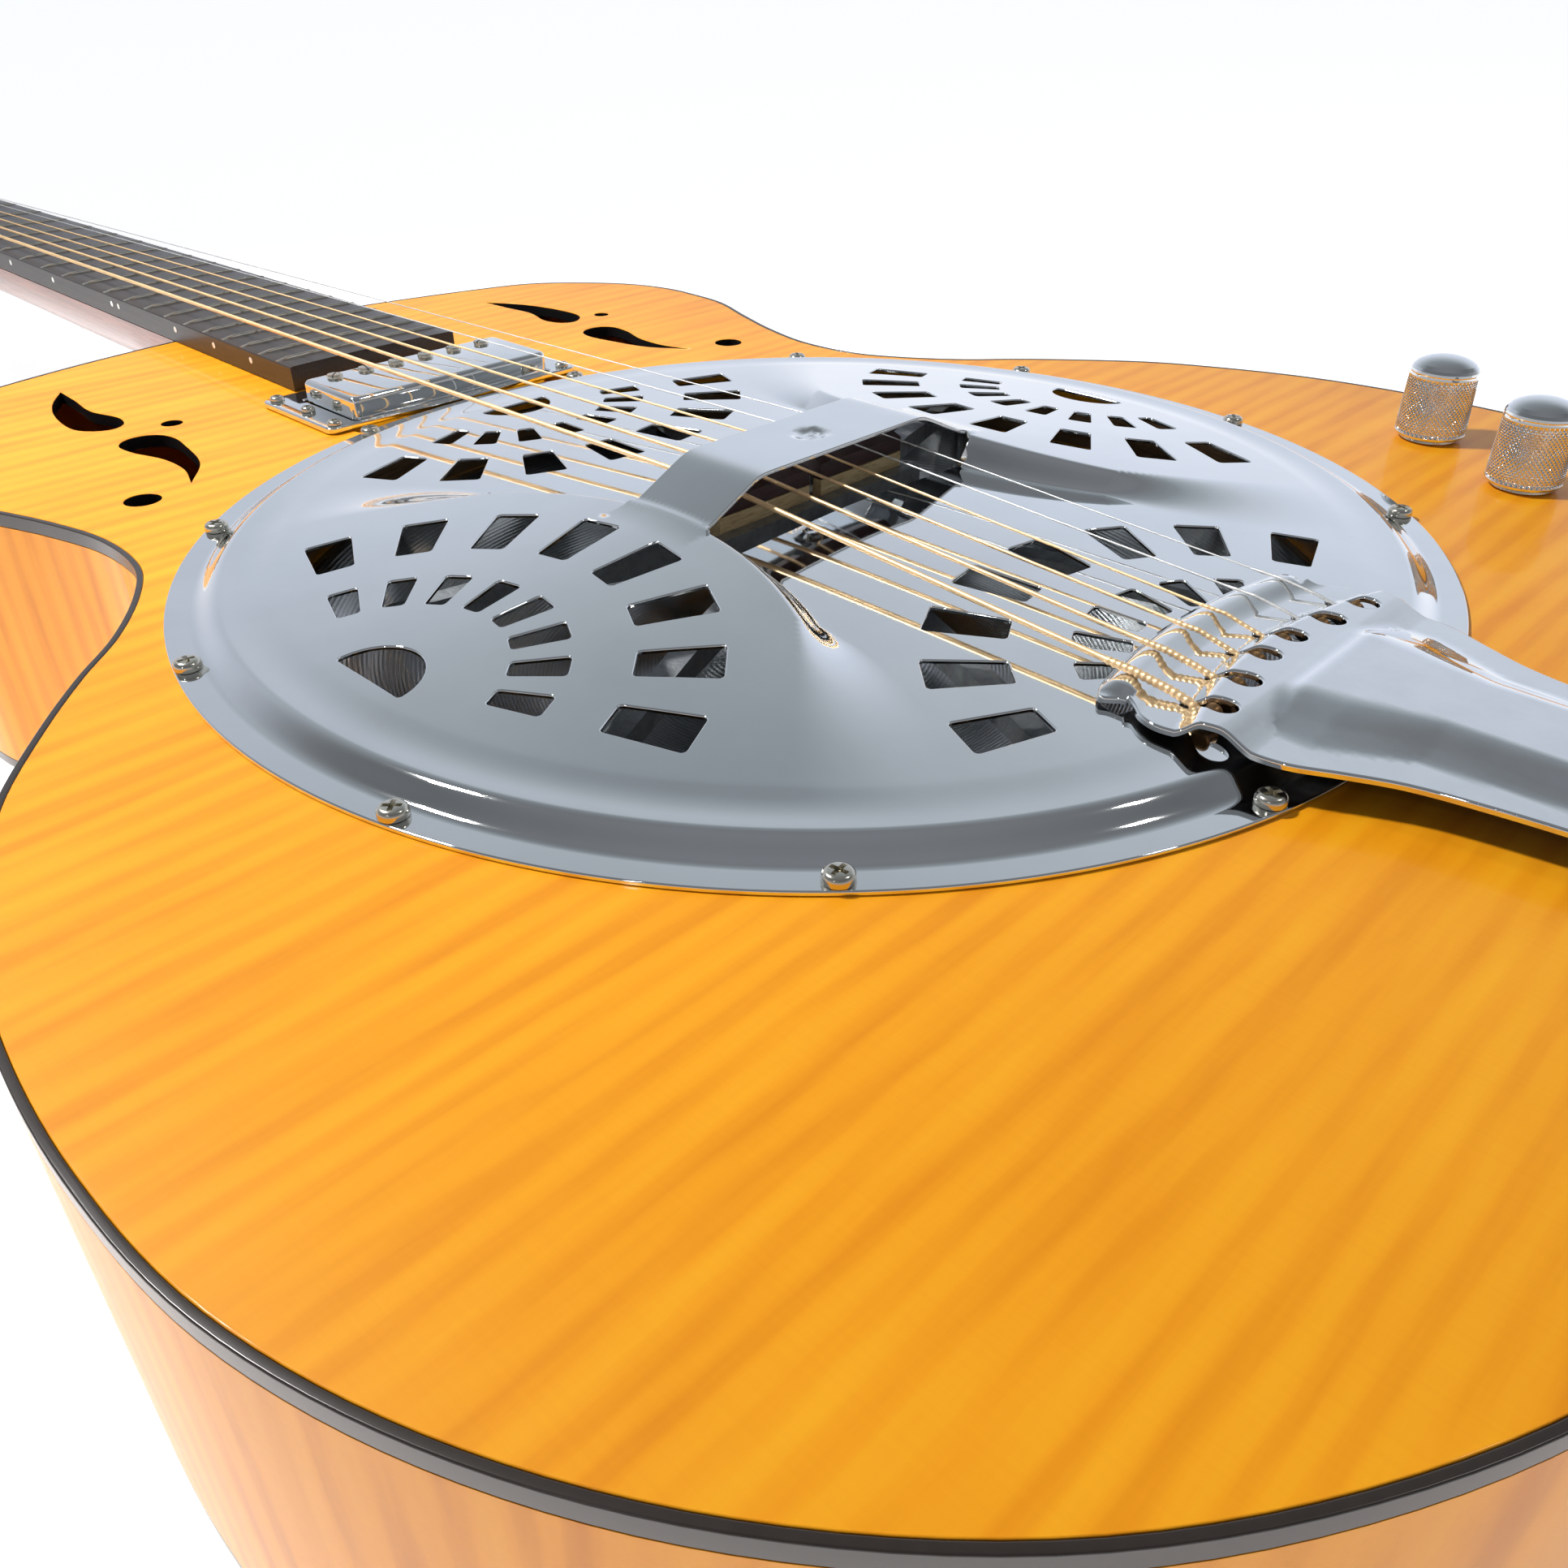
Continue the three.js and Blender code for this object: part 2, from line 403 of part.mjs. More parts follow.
// ---------- pickup ----------
{
  const rr = (x0, x1, y, q) => { const p = []; for (const [cx, cy, a] of [[x1 - q, y - q, 0], [x0 + q, y - q, 90], [x0 + q, -y + q, 180], [x1 - q, -y + q, 270]]) for (const b of [0, 45, 90]) p.push([cx + q * Math.cos((a + b) * deg), cy + q * Math.sin((a + b) * deg)]); return p; };
  put('pickup_ring', slab(rr(-183.5, -143.6, 43.8, 4), 0.3, 2.0, [rr(-175.2, -145.2, 34.9, 1.2).reverse()]), 'chrome');
  let cov = slab(rr(-174.6, -145.8, 34.3, 2), -12, 8).subtract(slab(rr(-174, -146.4, 33.7, 1.4), -13, 7.4));
  for (const y of ySad) cov = cov.subtract(cyl(-169.5, y, 5, 9, 2.6, 10));
  put('pickup_cover', cov, 'chrome');
  let core = box(-173.5, -146.9, -33.2, 33.2, -15, 6.8);
  for (const y of ySad) core = core.add(cyl(-169.5, y, 6, 8.7, 2.3, 10));
  put('pickup_core', core, 'black');
}

// ---------- tailpiece ----------
{
  // half outline: front arc, comma-shaped lobe beside the strings, then tapering to the tail
  const side = [[99.3, 32.2], [102.4, 34.8], [106.1, 34.2], [110.1, 35.9], [113.5, 36.8], [116.3, 33.1], [119.6, 30.1], [123.8, 32], [129.4, 34.4], [135.3, 33.5], [142.8, 30], [151.4, 26.4], [170, 23.5], [190, 20.5], [210, 17.6], [225, 15.9], [231.9, 15.5]];
  const front = [[95.8, 0], [96.3, 9], [97.4, 19], [98.9, 28]];
  const up = front.concat(side), pts = up.concat(up.slice(1).map(p => [p[0], -p[1]]).reverse());
  let p = slab(pts.reverse(), 6.0, 7.1);
  // rolled front edge that the strings cross
  const crest = (y) => { const x = 96.1 + 0.0035 * y * y; return [[x, y, 6.4], [x + 1.4, y, 8.3], [x + 4, y, LIP_Z], [x + 7, y, 8.0], [x + 9, y, 6.8]]; };
  p = p.add(loft([crest(-30), crest(-15), crest(0), crest(15), crest(30)]));
  // raised middle arm
  p = p.add(loft([[121, 9, 7.4, 14], [127, 12, 10.2, 24], [150, 8, 10.4, 17], [231.9, 7.6, 10.4, 11.6]].map(([x, a, z, b]) => [[x, -b, 6.9], [x, -a, z], [x, a, z], [x, b, 6.9]])));
  // bend over the tail and down to the end pin
  p = p.add(slab([[229.4, -15.5], [231.9, -15.5], [231.9, 15.5], [229.4, 15.5]], -48, 7.0));
  for (let i = 0; i < 6; i++) {
    p = p.subtract(cyl(xTail[i] + 5, yTail[i] + 2.4, 5, 9, 2.5, 10)).subtract(slab([[xTail[i] - 0.5, yTail[i] - 1], [xTail[i] + 4.5, yTail[i]], [xTail[i] + 4.5, yTail[i] + 3], [xTail[i] - 0.5, yTail[i] + 1]], 5, 9));
  }
  const e = new THREE.CylinderGeometry(3.4, 3.4, 20, 12); e.rotateZ(90 * deg); e.translate(231, 0, -40);
  put('tailpiece', p.subtract(toM(e)), 'chrome');
  const b = lathe([[0, -14], [2.1, -14], [2.1, 4.3], [7, 4.3], [7, 6.2], [4.6, 8], [4.6, 11], [7.2, 13.6], [6.4, 15.4], [0, 15.8]], 12);
  put('strap_button', b.rotate([0, 90, 0]).translate([227.9, 0, -40]), 'chrome');
}

// ---------- controls ----------
knobs.forEach(([x, y], i) => {
  const n = i ? 'tone' : 'volume';
  const k = lathe([[0, 10], [3.35, 10], [3.35, 1.2], [9, 1.2], [9, 18.3], [7.2, 20.8], [0, 22.3]], 18);
  put(n + '_knob', k.translate([x, y, 0]), 'chrome');
  const p = lathe([[0, -17.5], [11.8, -17.5], [11.8, -5.2], [3.9, -5.2], [3.9, 0.9], [3.2, 0.9], [3.2, 9.4], [0, 9.4]], 12);
  put(n + '_pot', p.translate([x, y, 0]), 'steel');
});

// ---------- tuners ----------
function worm() {
  // thread swept round a spindle lying along y
  const v = [], t = [], S = 8, turns = 1.75, N = Math.round(S * turns), r0 = 2.1, r1 = 3.4;
  for (let k = 0; k <= N; k++) {
    const f0 = k / S - turns / 2, a = 2 * Math.PI * f0 + Math.PI, y = f0 * WORM_LEAD, f = (k === 0 || k === N) ? 0.15 : 1;
    for (const [r, o] of [[r0, 0.5], [r0 + (r1 - r0) * f, 0.3], [r0 + (r1 - r0) * f, -0.3], [r0, -0.5]])
      v.push(r * Math.cos(a), y + o * 1, -r * Math.sin(a));
  }
  for (let k = 0; k < N; k++) for (let i = 0; i < 4; i++) { const j = (i + 1) % 4, a = k * 4 + i, b = k * 4 + j; t.push(a, b, b + 4, a, b + 4, a + 4); }
  t.push(0, 2, 1, 0, 3, 2); const e = N * 4; t.push(e, e + 1, e + 2, e, e + 2, e + 3);
  const mk = () => new wasm.Manifold(new wasm.Mesh({ numProp: 3, vertProperties: Float32Array.from(v), triVerts: Uint32Array.from(t) }));
  let m = mk();
  if (m.volume() < 0) { for (let k = 0; k < t.length; k += 3) { const s = t[k]; t[k] = t[k + 1]; t[k + 1] = s; } m = mk(); }
  return m;
}
const WORM_N = -5.4;            // worm axis behind the plate face
function tuner(i) {
  const [u, w] = posts[i], side = w < 0 ? -1 : 1, reach = 43.5 - Math.abs(w);
  const flip = side < 0 ? 180 : 0;
  // local: y towards the button, z out of the head's face, origin on the back of the head
  const place = m => m.rotate([0, 0, flip]).translate([-u, w, -HEAD_T]).rotate([0, -HEAD_TILT / deg, 0]).translate([HX, 0, HZ]);
  // gear wheel on the post
  const g = [];
  for (let k = 0; k < GEAR_TEETH; k++) for (const [r, a] of [[4.6, -0.62], [6.0, -0.34], [6.0, 0.34], [4.6, 0.62]]) {
    const b = (2 * Math.PI * k) / GEAR_TEETH + a / r; g.push([r * Math.cos(b), r * Math.sin(b)]);
  }
  let post = slab(g, WORM_N - 1.5, WORM_N + 1.5);
  post = post.add(lathe([[0, WORM_N - 2.6], [2.2, WORM_N - 2.6], [2.6, WORM_N - 1.4], [2.6, -0.2], [POST_R, 0.6], [POST_R, HEAD_T + POST_TOP - 0.6], [2.5, HEAD_T + POST_TOP], [0, HEAD_T + POST_TOP]], 10));
  // spindle, worm and button
  const sp = [[0, -7.2], [1.6, -7.2], [1.6, -3.9], [2.3, -3.9], [2.3, 3.9], [1.6, 3.9], [1.6, reach - 3.5], [3.2, reach - 2.5], [3.4, reach], [0, reach]];
  const ax = lathe(sp, 8).rotate([-90, 0, 0]);
  let shaft = ax.add(worm());
  const btn = loft([[-1], [1]].map(([s]) => ring(1, 10).map(p => [p[0] * 7.2, reach - 1 + 8.5 + p[1] * 9.2, s * 3.0])));
  shaft = shaft.add(btn.translate([0, 0, 0]));
  shaft = shaft.translate([-GEAR_C, 0, WORM_N]);
  return { post: place(post), shaft: place(shaft) };
}
const tn = ['low_e', 'a', 'd', 'g', 'b', 'high_e'];
for (const [side, ids] of [['bass', [0, 1, 2]], ['treble', [3, 4, 5]]]) {
  const s = side === 'bass' ? -1 : 1;
  // plate screwed to the back of the head, with two ears for each spindle
  const us = ids.map(i => posts[i]), lo = us.reduce((a, b) => a[0] < b[0] ? a : b), hi = us.reduce((a, b) => a[0] > b[0] ? a : b);
  const at = u => lo[1] + (hi[1] - lo[1]) * (u - lo[0]) / (hi[0] - lo[0]);
  const edge = (u, o) => [-u, at(u) + o];
  const c = [edge(lo[0] - 16, -7.5), edge(hi[0] + 16, -7.5), edge(hi[0] + 16, 7.5), edge(lo[0] - 16, 7.5)];
  let pl = slab(s < 0 ? c.slice().reverse() : c.slice().reverse(), -HEAD_T - 1.5, -HEAD_T - 0.25);
  for (const i of ids) {
    const [u, w] = posts[i], f = s < 0 ? 180 : 0, gx = s < 0 ? 1 : -1;
    let ears = box(-GEAR_C - 3.2, -GEAR_C + 3.2, -6.6, -4.9, WORM_N - 2.8, -1.0).add(box(-GEAR_C - 3.2, -GEAR_C + 3.2, 4.9, 6.6, WORM_N - 2.8, -1.0));
    const hb = new THREE.CylinderGeometry(1.78, 1.78, 40, 8); hb.translate(-GEAR_C, 0, WORM_N);
    ears = ears.subtract(toM(hb));
    pl = pl.add(ears.rotate([0, 0, f]).translate([-u, w, -HEAD_T]));
    pl = pl.subtract(cyl(-u, w, -HEAD_T - 4, -HEAD_T + 1, 3.2, 8));
  }
  put('tuner_plate_' + side, pl.rotate([0, -HEAD_TILT / deg, 0]).translate([HX, 0, HZ]), 'nickel');
}
tn.forEach((n, i) => {
  const t = tuner(i);
  put('tuner_post_' + n, t.post, 'nickel');
  put('tuner_button_' + n, t.shaft, 'nickel');
});

// ---------- output jack in the treble side ----------
{
  let b = lathe([[0, -17], [5.4, -17], [5.4, 0.4], [9.6, 0.4], [9.6, 1.6], [7.2, 1.6], [7.2, 3.6], [0, 3.6]], 12);
  b = b.subtract(lathe([[0, -15], [3.2, -15], [3.2, 6], [0, 6]], 10));
  put('output_jack', b.rotate([-90, 0, 0]).rotate([0, 0, JACK.turn]).translate([JACK.x, JACK.y, JACK.z]), 'nickel');
}

group.position.set(0, 0, 0);
group.traverse(o => { if (o.isMesh) o.geometry.translate(SHIFT_X, 0, DEPTH); });
export default group;
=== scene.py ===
import bpy, bmesh, json, math
import numpy as np
from mathutils import Vector, Matrix
from mathutils.geometry import delaunay_2d_cdt

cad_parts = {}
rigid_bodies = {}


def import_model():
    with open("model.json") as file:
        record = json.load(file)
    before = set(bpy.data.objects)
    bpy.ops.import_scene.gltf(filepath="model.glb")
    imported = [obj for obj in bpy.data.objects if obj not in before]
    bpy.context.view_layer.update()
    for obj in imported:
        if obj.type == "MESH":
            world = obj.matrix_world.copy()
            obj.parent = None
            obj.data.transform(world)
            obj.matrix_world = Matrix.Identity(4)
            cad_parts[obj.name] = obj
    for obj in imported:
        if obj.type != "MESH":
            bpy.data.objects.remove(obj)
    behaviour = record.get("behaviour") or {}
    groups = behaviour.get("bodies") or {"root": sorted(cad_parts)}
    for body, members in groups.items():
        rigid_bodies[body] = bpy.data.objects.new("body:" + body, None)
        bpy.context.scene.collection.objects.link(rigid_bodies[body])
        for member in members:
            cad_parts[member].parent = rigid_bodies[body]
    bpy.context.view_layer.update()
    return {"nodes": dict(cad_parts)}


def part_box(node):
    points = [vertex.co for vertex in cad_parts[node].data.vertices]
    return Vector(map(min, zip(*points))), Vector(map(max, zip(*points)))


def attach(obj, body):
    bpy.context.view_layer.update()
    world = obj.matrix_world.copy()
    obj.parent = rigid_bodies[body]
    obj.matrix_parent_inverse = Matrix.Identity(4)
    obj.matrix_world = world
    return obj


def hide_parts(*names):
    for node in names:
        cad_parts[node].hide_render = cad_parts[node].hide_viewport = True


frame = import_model()

# ------------------------------------------------------------------ frame
# Shapes below are in mm, with the origin at the cover plate's centre on the soundboard's face.
_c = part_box("cover_plate")
SX = (_c[0][0] + _c[1][0]) / 2 * 1000.0
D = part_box("soundboard")[1][2] * 1000.0
OFF = Vector((SX, 0.0, D))


def P(x, y, z):
    return Vector(((x + SX) / 1000.0, y / 1000.0, (z + D) / 1000.0))


SCALE = 628.65
SADX = -1.8
NUTX = SADX - SCALE
TILT = math.radians(14)
HX = NUTX - 4.9
rad = math.radians


def head(u, w, n):
    """Point on the headstock: u from the nut, w across, n out of its face."""
    return (HX - u * math.cos(TILT) - n * math.sin(TILT), w, -u * math.sin(TILT) + n * math.cos(TILT))


# ------------------------------------------------------------------ materials
def new_mat(name):
    m = bpy.data.materials.new(name)
    m.use_nodes = True
    nt = m.node_tree
    nt.nodes.clear()
    out = nt.nodes.new("ShaderNodeOutputMaterial")
    b = nt.nodes.new("ShaderNodeBsdfPrincipled")
    nt.links.new(b.outputs[0], out.inputs[0])
    return m, nt, b


def node(nt, kind, **kw):
    n = nt.nodes.new("ShaderNode" + kind)
    for k, v in kw.items():
        if k in n.inputs.keys():
            n.inputs[k].default_value = v
        else:
            setattr(n, k, v)
    return n


def link(nt, a, ao, b, bi):
    nt.links.new(a.outputs[ao], b.inputs[bi])


def coords(nt, loc=(0, 0, 0), scale=(1, 1, 1), rot=(0, 0, 0)):
    """Object coordinates in mm from the cover plate's centre, then moved and scaled."""
    tc = node(nt, "TexCoord")
    mp = node(nt, "Mapping")
    mp.vector_type = "POINT"
    mp.inputs["Location"].default_value = (-SX - loc[0], -loc[1], -D - loc[2])
    mp.inputs["Scale"].default_value = (1000, 1000, 1000)
    link(nt, tc, "Object", mp, "Vector")
    m2 = node(nt, "Mapping")
    m2.inputs["Scale"].default_value = scale
    m2.inputs["Rotation"].default_value = rot
    link(nt, mp, "Vector", m2, "Vector")
    return m2


def ramp(nt, stops, interp="LINEAR"):
    r = node(nt, "ValToRGB")
    r.color_ramp.interpolation = interp
    e = r.color_ramp.elements
    while len(e) > 1:
        e.remove(e[-1])
    e[0].position, e[0].color = stops[0][0], (*stops[0][1], 1)
    for p, c in stops[1:]:
        x = e.new(p)
        x.color = (*c, 1)
    return r


def grey(v):
    return (v, v, v)


def mixc(nt, a, ao, b, bo, fac=0.5, mode="MULTIPLY", fsock=None):
    m = node(nt, "Mix", data_type="RGBA", blend_type=mode)
    m.inputs[0].default_value = fac
    if fsock:
        nt.links.new(fsock[0].outputs[fsock[1]], m.inputs[0])
    nt.links.new(a.outputs[ao], m.inputs[6])
    nt.links.new(b.outputs[bo], m.inputs[7])
    return m


def bump(nt, b, src, so, strength=0.2, dist=0.0002):
    n = node(nt, "Bump")
    n.inputs["Strength"].default_value = strength
    n.inputs["Distance"].default_value = dist
    nt.links.new(src.outputs[so], n.inputs["Height"])
    link(nt, n, "Normal", b, "Normal")
    return n


def maple(name, base, dark, light, flame=1.0, side=False):
    """Amber flamed maple under gloss lacquer: flames across the grain, fine grain lines, slow colour drift."""
    m, nt, b = new_mat(name)
    # flames: bands lying across the length, wavering along the width
    c1 = coords(nt, scale=(1, 0.12, 0.12))
    wv = node(nt, "TexWave", wave_type="BANDS", bands_direction="X", Scale=0.046, Distortion=5.5, Detail=3.0)
    wv.inputs["Detail Scale"].default_value = 0.6
    wv.inputs["Detail Roughness"].default_value = 0.6
    link(nt, c1, 0, wv, "Vector")
    c2 = coords(nt, scale=(0.135, 0.015, 0.015), rot=(0, 0, 0.10))
    fine = node(nt, "TexNoise", Scale=1.0, Detail=4.0, Roughness=0.55)
    link(nt, c2, 0, fine, "Vector")
    f1 = ramp(nt, [(0.15, grey(0.0)), (0.85, grey(1.0))])
    link(nt, wv, "Fac", f1, 0)
    f2 = ramp(nt, [(0.25, grey(0.0)), (0.75, grey(1.0))])
    link(nt, fine, "Fac", f2, 0)
    mx = mixc(nt, f1, 0, f2, 0, 0.72, "MIX")
    col = ramp(nt, [(0.0, dark), (0.5, base), (1.0, light)])
    link(nt, mx, 2, col, 0)
    # slow drift of colour over the whole plate
    c3 = coords(nt, scale=(0.006, 0.009, 0.009))
    drift = node(nt, "TexNoise", Scale=1.0, Detail=2.0)
    link(nt, c3, 0, drift, "Vector")
    dr = ramp(nt, [(0.3, (0.93, 0.88, 0.80)), (0.7, (1.0, 1.0, 1.0))])
    link(nt, drift, "Fac", dr, 0)
    mc = mixc(nt, col, 0, dr, 0, 1.0 * flame)
    # grain: thin lines along the length
    c4 = coords(nt, scale=(0.012, 1.1, 1.1))
    gr = node(nt, "TexNoise", Scale=1.0, Detail=5.0, Roughness=0.7)
    link(nt, c4, 0, gr, "Vector")
    gr2 = ramp(nt, [(0.34, (0.93, 0.88, 0.80)), (0.62, (1.0, 1.0, 1.0))])
    link(nt, gr, "Fac", gr2, 0)
    mg = mixc(nt, mc, 2, gr2, 0, 0.24)
    link(nt, mg, 2, b, "Base Color")
    b.inputs["Roughness"].default_value = 0.42
    b.inputs["Specular IOR Level"].default_value = 0.15
    b.inputs["Coat Weight"].default_value = 0.22
    b.inputs["Coat Roughness"].default_value = 0.06
    c5 = coords(nt, scale=(0.05, 0.05, 0.05))
    op = node(nt, "TexNoise", Scale=1.0, Detail=1.0)
    link(nt, c5, 0, op, "Vector")
    bump(nt, b, op, "Fac", 0.04, 0.0006)
    return m


def wood(name, dark, mid, light, stretch=(0.03, 1.6, 1.6), rough=0.4, coat=0.3, pores=0.5, rot=(0, 0, 0)):
    m, nt, b = new_mat(name)
    c = coords(nt, scale=stretch, rot=rot)
    n1 = node(nt, "TexNoise", Scale=1.0, Detail=6.0, Roughness=0.65)
    link(nt, c, 0, n1, "Vector")
    col = ramp(nt, [(0.3, dark), (0.52, mid), (0.72, light)])
    link(nt, n1, "Fac", col, 0)
    c2 = coords(nt, scale=(stretch[0] * 6, stretch[1] * 3.2, stretch[2] * 3.2), rot=rot)
    n2 = node(nt, "TexNoise", Scale=1.0, Detail=3.0)
    link(nt, c2, 0, n2, "Vector")
    po = ramp(nt, [(0.36, grey(1 - pores)), (0.46, grey(1.0))])
    link(nt, n2, "Fac", po, 0)
    mc = mixc(nt, col, 0, po, 0, 1.0)
    link(nt, mc, 2, b, "Base Color")
    b.inputs["Roughness"].default_value = rough
    b.inputs["Coat Weight"].default_value = coat
    b.inputs["Coat Roughness"].default_value = 0.1
    bump(nt, b, po, 0, 0.25, 0.00012)
    return m


def metal(name, colour, rough, smudge=0.04, scale=0.05, grain=0.0, gscale=(1, 1, 1), tint=None):
    m, nt, b = new_mat(name)
    b.inputs["Metallic"].default_value = 1.0
    c = coords(nt, scale=(scale,) * 3)
    n = node(nt, "TexNoise", Scale=1.0, Detail=5.0, Roughness=0.6)
    link(nt, c, 0, n, "Vector")
    r = node(nt, "MapRange")
    r.inputs["From Min"].default_value = 0.35
    r.inputs["From Max"].default_value = 0.7
    r.inputs["To Min"].default_value = rough
    r.inputs["To Max"].default_value = rough + smudge
    link(nt, n, "Fac", r, "Value")
    link(nt, r, 0, b, "Roughness")
    t = tint or tuple(v * 0.93 for v in colour)
    col = ramp(nt, [(0.4, colour), (0.75, t)])
    link(nt, n, "Fac", col, 0)
    link(nt, col, 0, b, "Base Color")
    if grain:
        cg = coords(nt, scale=gscale)
        g = node(nt, "TexNoise", Scale=1.0, Detail=4.0)
        link(nt, cg, 0, g, "Vector")
        bump(nt, b, g, "Fac", grain, 0.0002)
    return m


M = {}
M["maple_top"] = maple("maple_top", (0.90, 0.360, 0.008), (0.76, 0.258, 0.004), (0.95, 0.430, 0.012))
M["maple_back"] = maple("maple_back", (0.86, 0.325, 0.009), (0.64, 0.205, 0.005), (0.93, 0.39, 0.015))
M["chrome"] = metal("chrome", (0.86, 0.88, 0.89), 0.03, 0.02, 0.03)
M["chrome_parts"] = metal("chrome_parts", (0.86, 0.88, 0.89), 0.025, 0.025, 0.12)
M["nickel"] = metal("nickel", (0.66, 0.63, 0.55), 0.14, 0.12, 0.6, 0.05, (2, 2, 2))
M["nickel_tuner"] = metal("nickel_tuner", (0.70, 0.69, 0.66), 0.10, 0.10, 0.25, 0.03, (2, 2, 2))
M["cast"] = metal("cast", (0.36, 0.38, 0.40), 0.42, 0.18, 0.35, 0.45, (1.3, 1.3, 1.3), (0.26, 0.28, 0.30))
M["steel"] = metal("steel", (0.60, 0.60, 0.58), 0.3, 0.15, 0.3, 0.1, (1.5, 1.5, 1.5))
M["plain_string"] = metal("plain_string", (0.80, 0.80, 0.79), 0.40, 0.08, 0.3)
M["bronze"] = metal("bronze", (0.96, 0.68, 0.38), 0.44, 0.10, 0.25, 0.0, (1, 1, 1), (0.98, 0.68, 0.38))
for _m in ("bronze", "plain_string"):
    for _n in M[_m].node_tree.nodes:
        if _n.type == "BSDF_PRINCIPLED":
            _n.inputs["Metallic"].default_value = 0.78
M["brass"] = metal("brass", (0.74, 0.55, 0.24), 0.25, 0.12, 0.3)
M["fret"] = metal("fret", (0.36, 0.35, 0.32), 0.30, 0.12, 0.3)
M["ball"] = metal("ball", (0.26, 0.15, 0.07), 0.35, 0.15, 0.4)
# near-black metal, used only as painted shade under the tailpiece
M["inside"] = metal("inside", (0.06, 0.06, 0.063), 0.45, 0.15, 0.3)
M["mahogany"] = wood("mahogany", (0.12, 0.030, 0.014), (0.22, 0.062, 0.028), (0.31, 0.10, 0.045), (0.02, 0.7, 0.7), 0.32, 0.6, 0.35)
M["rosewood"] = wood("rosewood", (0.010, 0.007, 0.006), (0.022, 0.015, 0.012), (0.045, 0.030, 0.022), (0.03, 1.5, 1.5), 0.42, 0.15, 0.6)
M["ebony"] = wood("ebony", (0.020, 0.006, 0.005), (0.040, 0.012, 0.010), (0.062, 0.020, 0.016), (1.2, 0.10, 1.2), 0.42, 0.1, 0.25)
M["raw_maple"] = wood("raw_maple", (0.44, 0.31, 0.15), (0.58, 0.44, 0.23), (0.68, 0.54, 0.31), (1.6, 0.10, 1.0), 0.55, 0.0, 0.30)
M["ply"] = wood("ply", (0.16, 0.085, 0.035), (0.25, 0.14, 0.06), (0.34, 0.20, 0.09), (0.05, 0.05, 1.4), 0.7, 0.0, 0.3)
M["inner"] = wood("inner", (0.20, 0.11, 0.045), (0.30, 0.18, 0.08), (0.38, 0.24, 0.11), (0.04, 0.7, 0.7), 0.75, 0.0, 0.3)


def spun():
    """Spun aluminium: fine rings about the cone's axis."""
    m, nt, b = new_mat("spun_aluminium")
    b.inputs["Metallic"].default_value = 1.0
    b.inputs["Base Color"].default_value = (0.62, 0.64, 0.66, 1)
    c = coords(nt)
    w = node(nt, "TexWave", wave_type="RINGS", rings_direction="Z", Scale=0.34, Distortion=0.6, Detail=2.0)
    link(nt, c, 0, w, "Vector")
    n = node(nt, "TexNoise", Scale=0.6, Detail=3.0)
    link(nt, c, 0, n, "Vector")
    mx = mixc(nt, w, "Fac", n, "Fac", 0.35, "MIX")
    bump(nt, b, mx, 2, 0.06, 0.0003)
    col = ramp(nt, [(0.2, (0.60, 0.62, 0.63)), (0.8, (0.74, 0.75, 0.76))])
    link(nt, mx, 2, col, 0)
    link(nt, col, 0, b, "Base Color")
    b.inputs["Roughness"].default_value = 0.17
    b.inputs["Anisotropic"].default_value = 0.6
    return m


M["spun"] = spun()


def plastic(name, colour, rough, spots=0.0):
    m, nt, b = new_mat(name)
    c = coords(nt, scale=(0.4, 0.4, 0.4))
    n = node(nt, "TexNoise", Scale=1.0, Detail=3.0)
    link(nt, c, 0, n, "Vector")
    col = ramp(nt, [(0.3, tuple(v * 0.85 for v in colour)), (0.7, colour)])
    link(nt, n, "Fac", col, 0)
    link(nt, col, 0, b, "Base Color")
    b.inputs["Roughness"].default_value = rough
    bump(nt, b, n, "Fac", 0.03, 0.0002)
    return m


M["black"] = plastic("black", (0.012, 0.012, 0.013), 0.22)
M["bone"] = plastic("bone", (0.74, 0.68, 0.53), 0.3)
M["white_dot"] = plastic("white_dot", (0.82, 0.80, 0.74), 0.25)
M["dark_edge_band"] = plastic("dark_edge_band", (0.030, 0.022, 0.018), 0.25)


def pearl():
    m, nt, b = new_mat("pearl")
    c = coords(nt, scale=(0.35, 0.35, 0.35))
    n = node(nt, "TexNoise", Scale=1.0, Detail=4.0, Distortion=2.0)
    link(nt, c, 0, n, "Vector")
    col = ramp(nt, [(0.3, (0.62, 0.66, 0.66)), (0.5, (0.85, 0.84, 0.80)), (0.7, (0.72, 0.76, 0.80))])
    link(nt, n, "Fac", col, 0)
    link(nt, col, 0, b, "Base Color")
    b.inputs["Roughness"].default_value = 0.2
    return m


M["pearl"] = pearl()


# ------------------------------------------------------------------ mesh helpers
def smooth01(t):
    t = np.clip(t, 0, 1)
    return t * t * (3 - 2 * t)


def obj_from(name, verts, faces, mat, body="body", angle=32, mm=True, parts=None):
    v = np.asarray(verts, float)
    if mm:
        v = (v + np.array([SX, 0, D])) / 1000.0
    me = bpy.data.meshes.new(name)
    me.from_pydata([tuple(p) for p in v], [], [tuple(int(i) for i in f) for f in faces])
    me.validate()
    me.update()
    o = bpy.data.objects.new(name, me)
    bpy.context.scene.collection.objects.link(o)
    finish_obj(o, mat, body, angle)
    return o


def finish_obj(o, mat, body="body", angle=32, outward=True):
    me = o.data
    if outward:
        bm = bmesh.new()
        bm.from_mesh(me)
        bmesh.ops.recalc_face_normals(bm, faces=bm.faces)
        bm.to_mesh(me)
        bm.free()
    if mat is not None:
        me.materials.clear()
        me.materials.append(mat)
    me.polygons.foreach_set("use_smooth", [True] * len(me.polygons))
    me.set_sharp_from_angle(angle=rad(angle))
    me.update()
    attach(o, body)


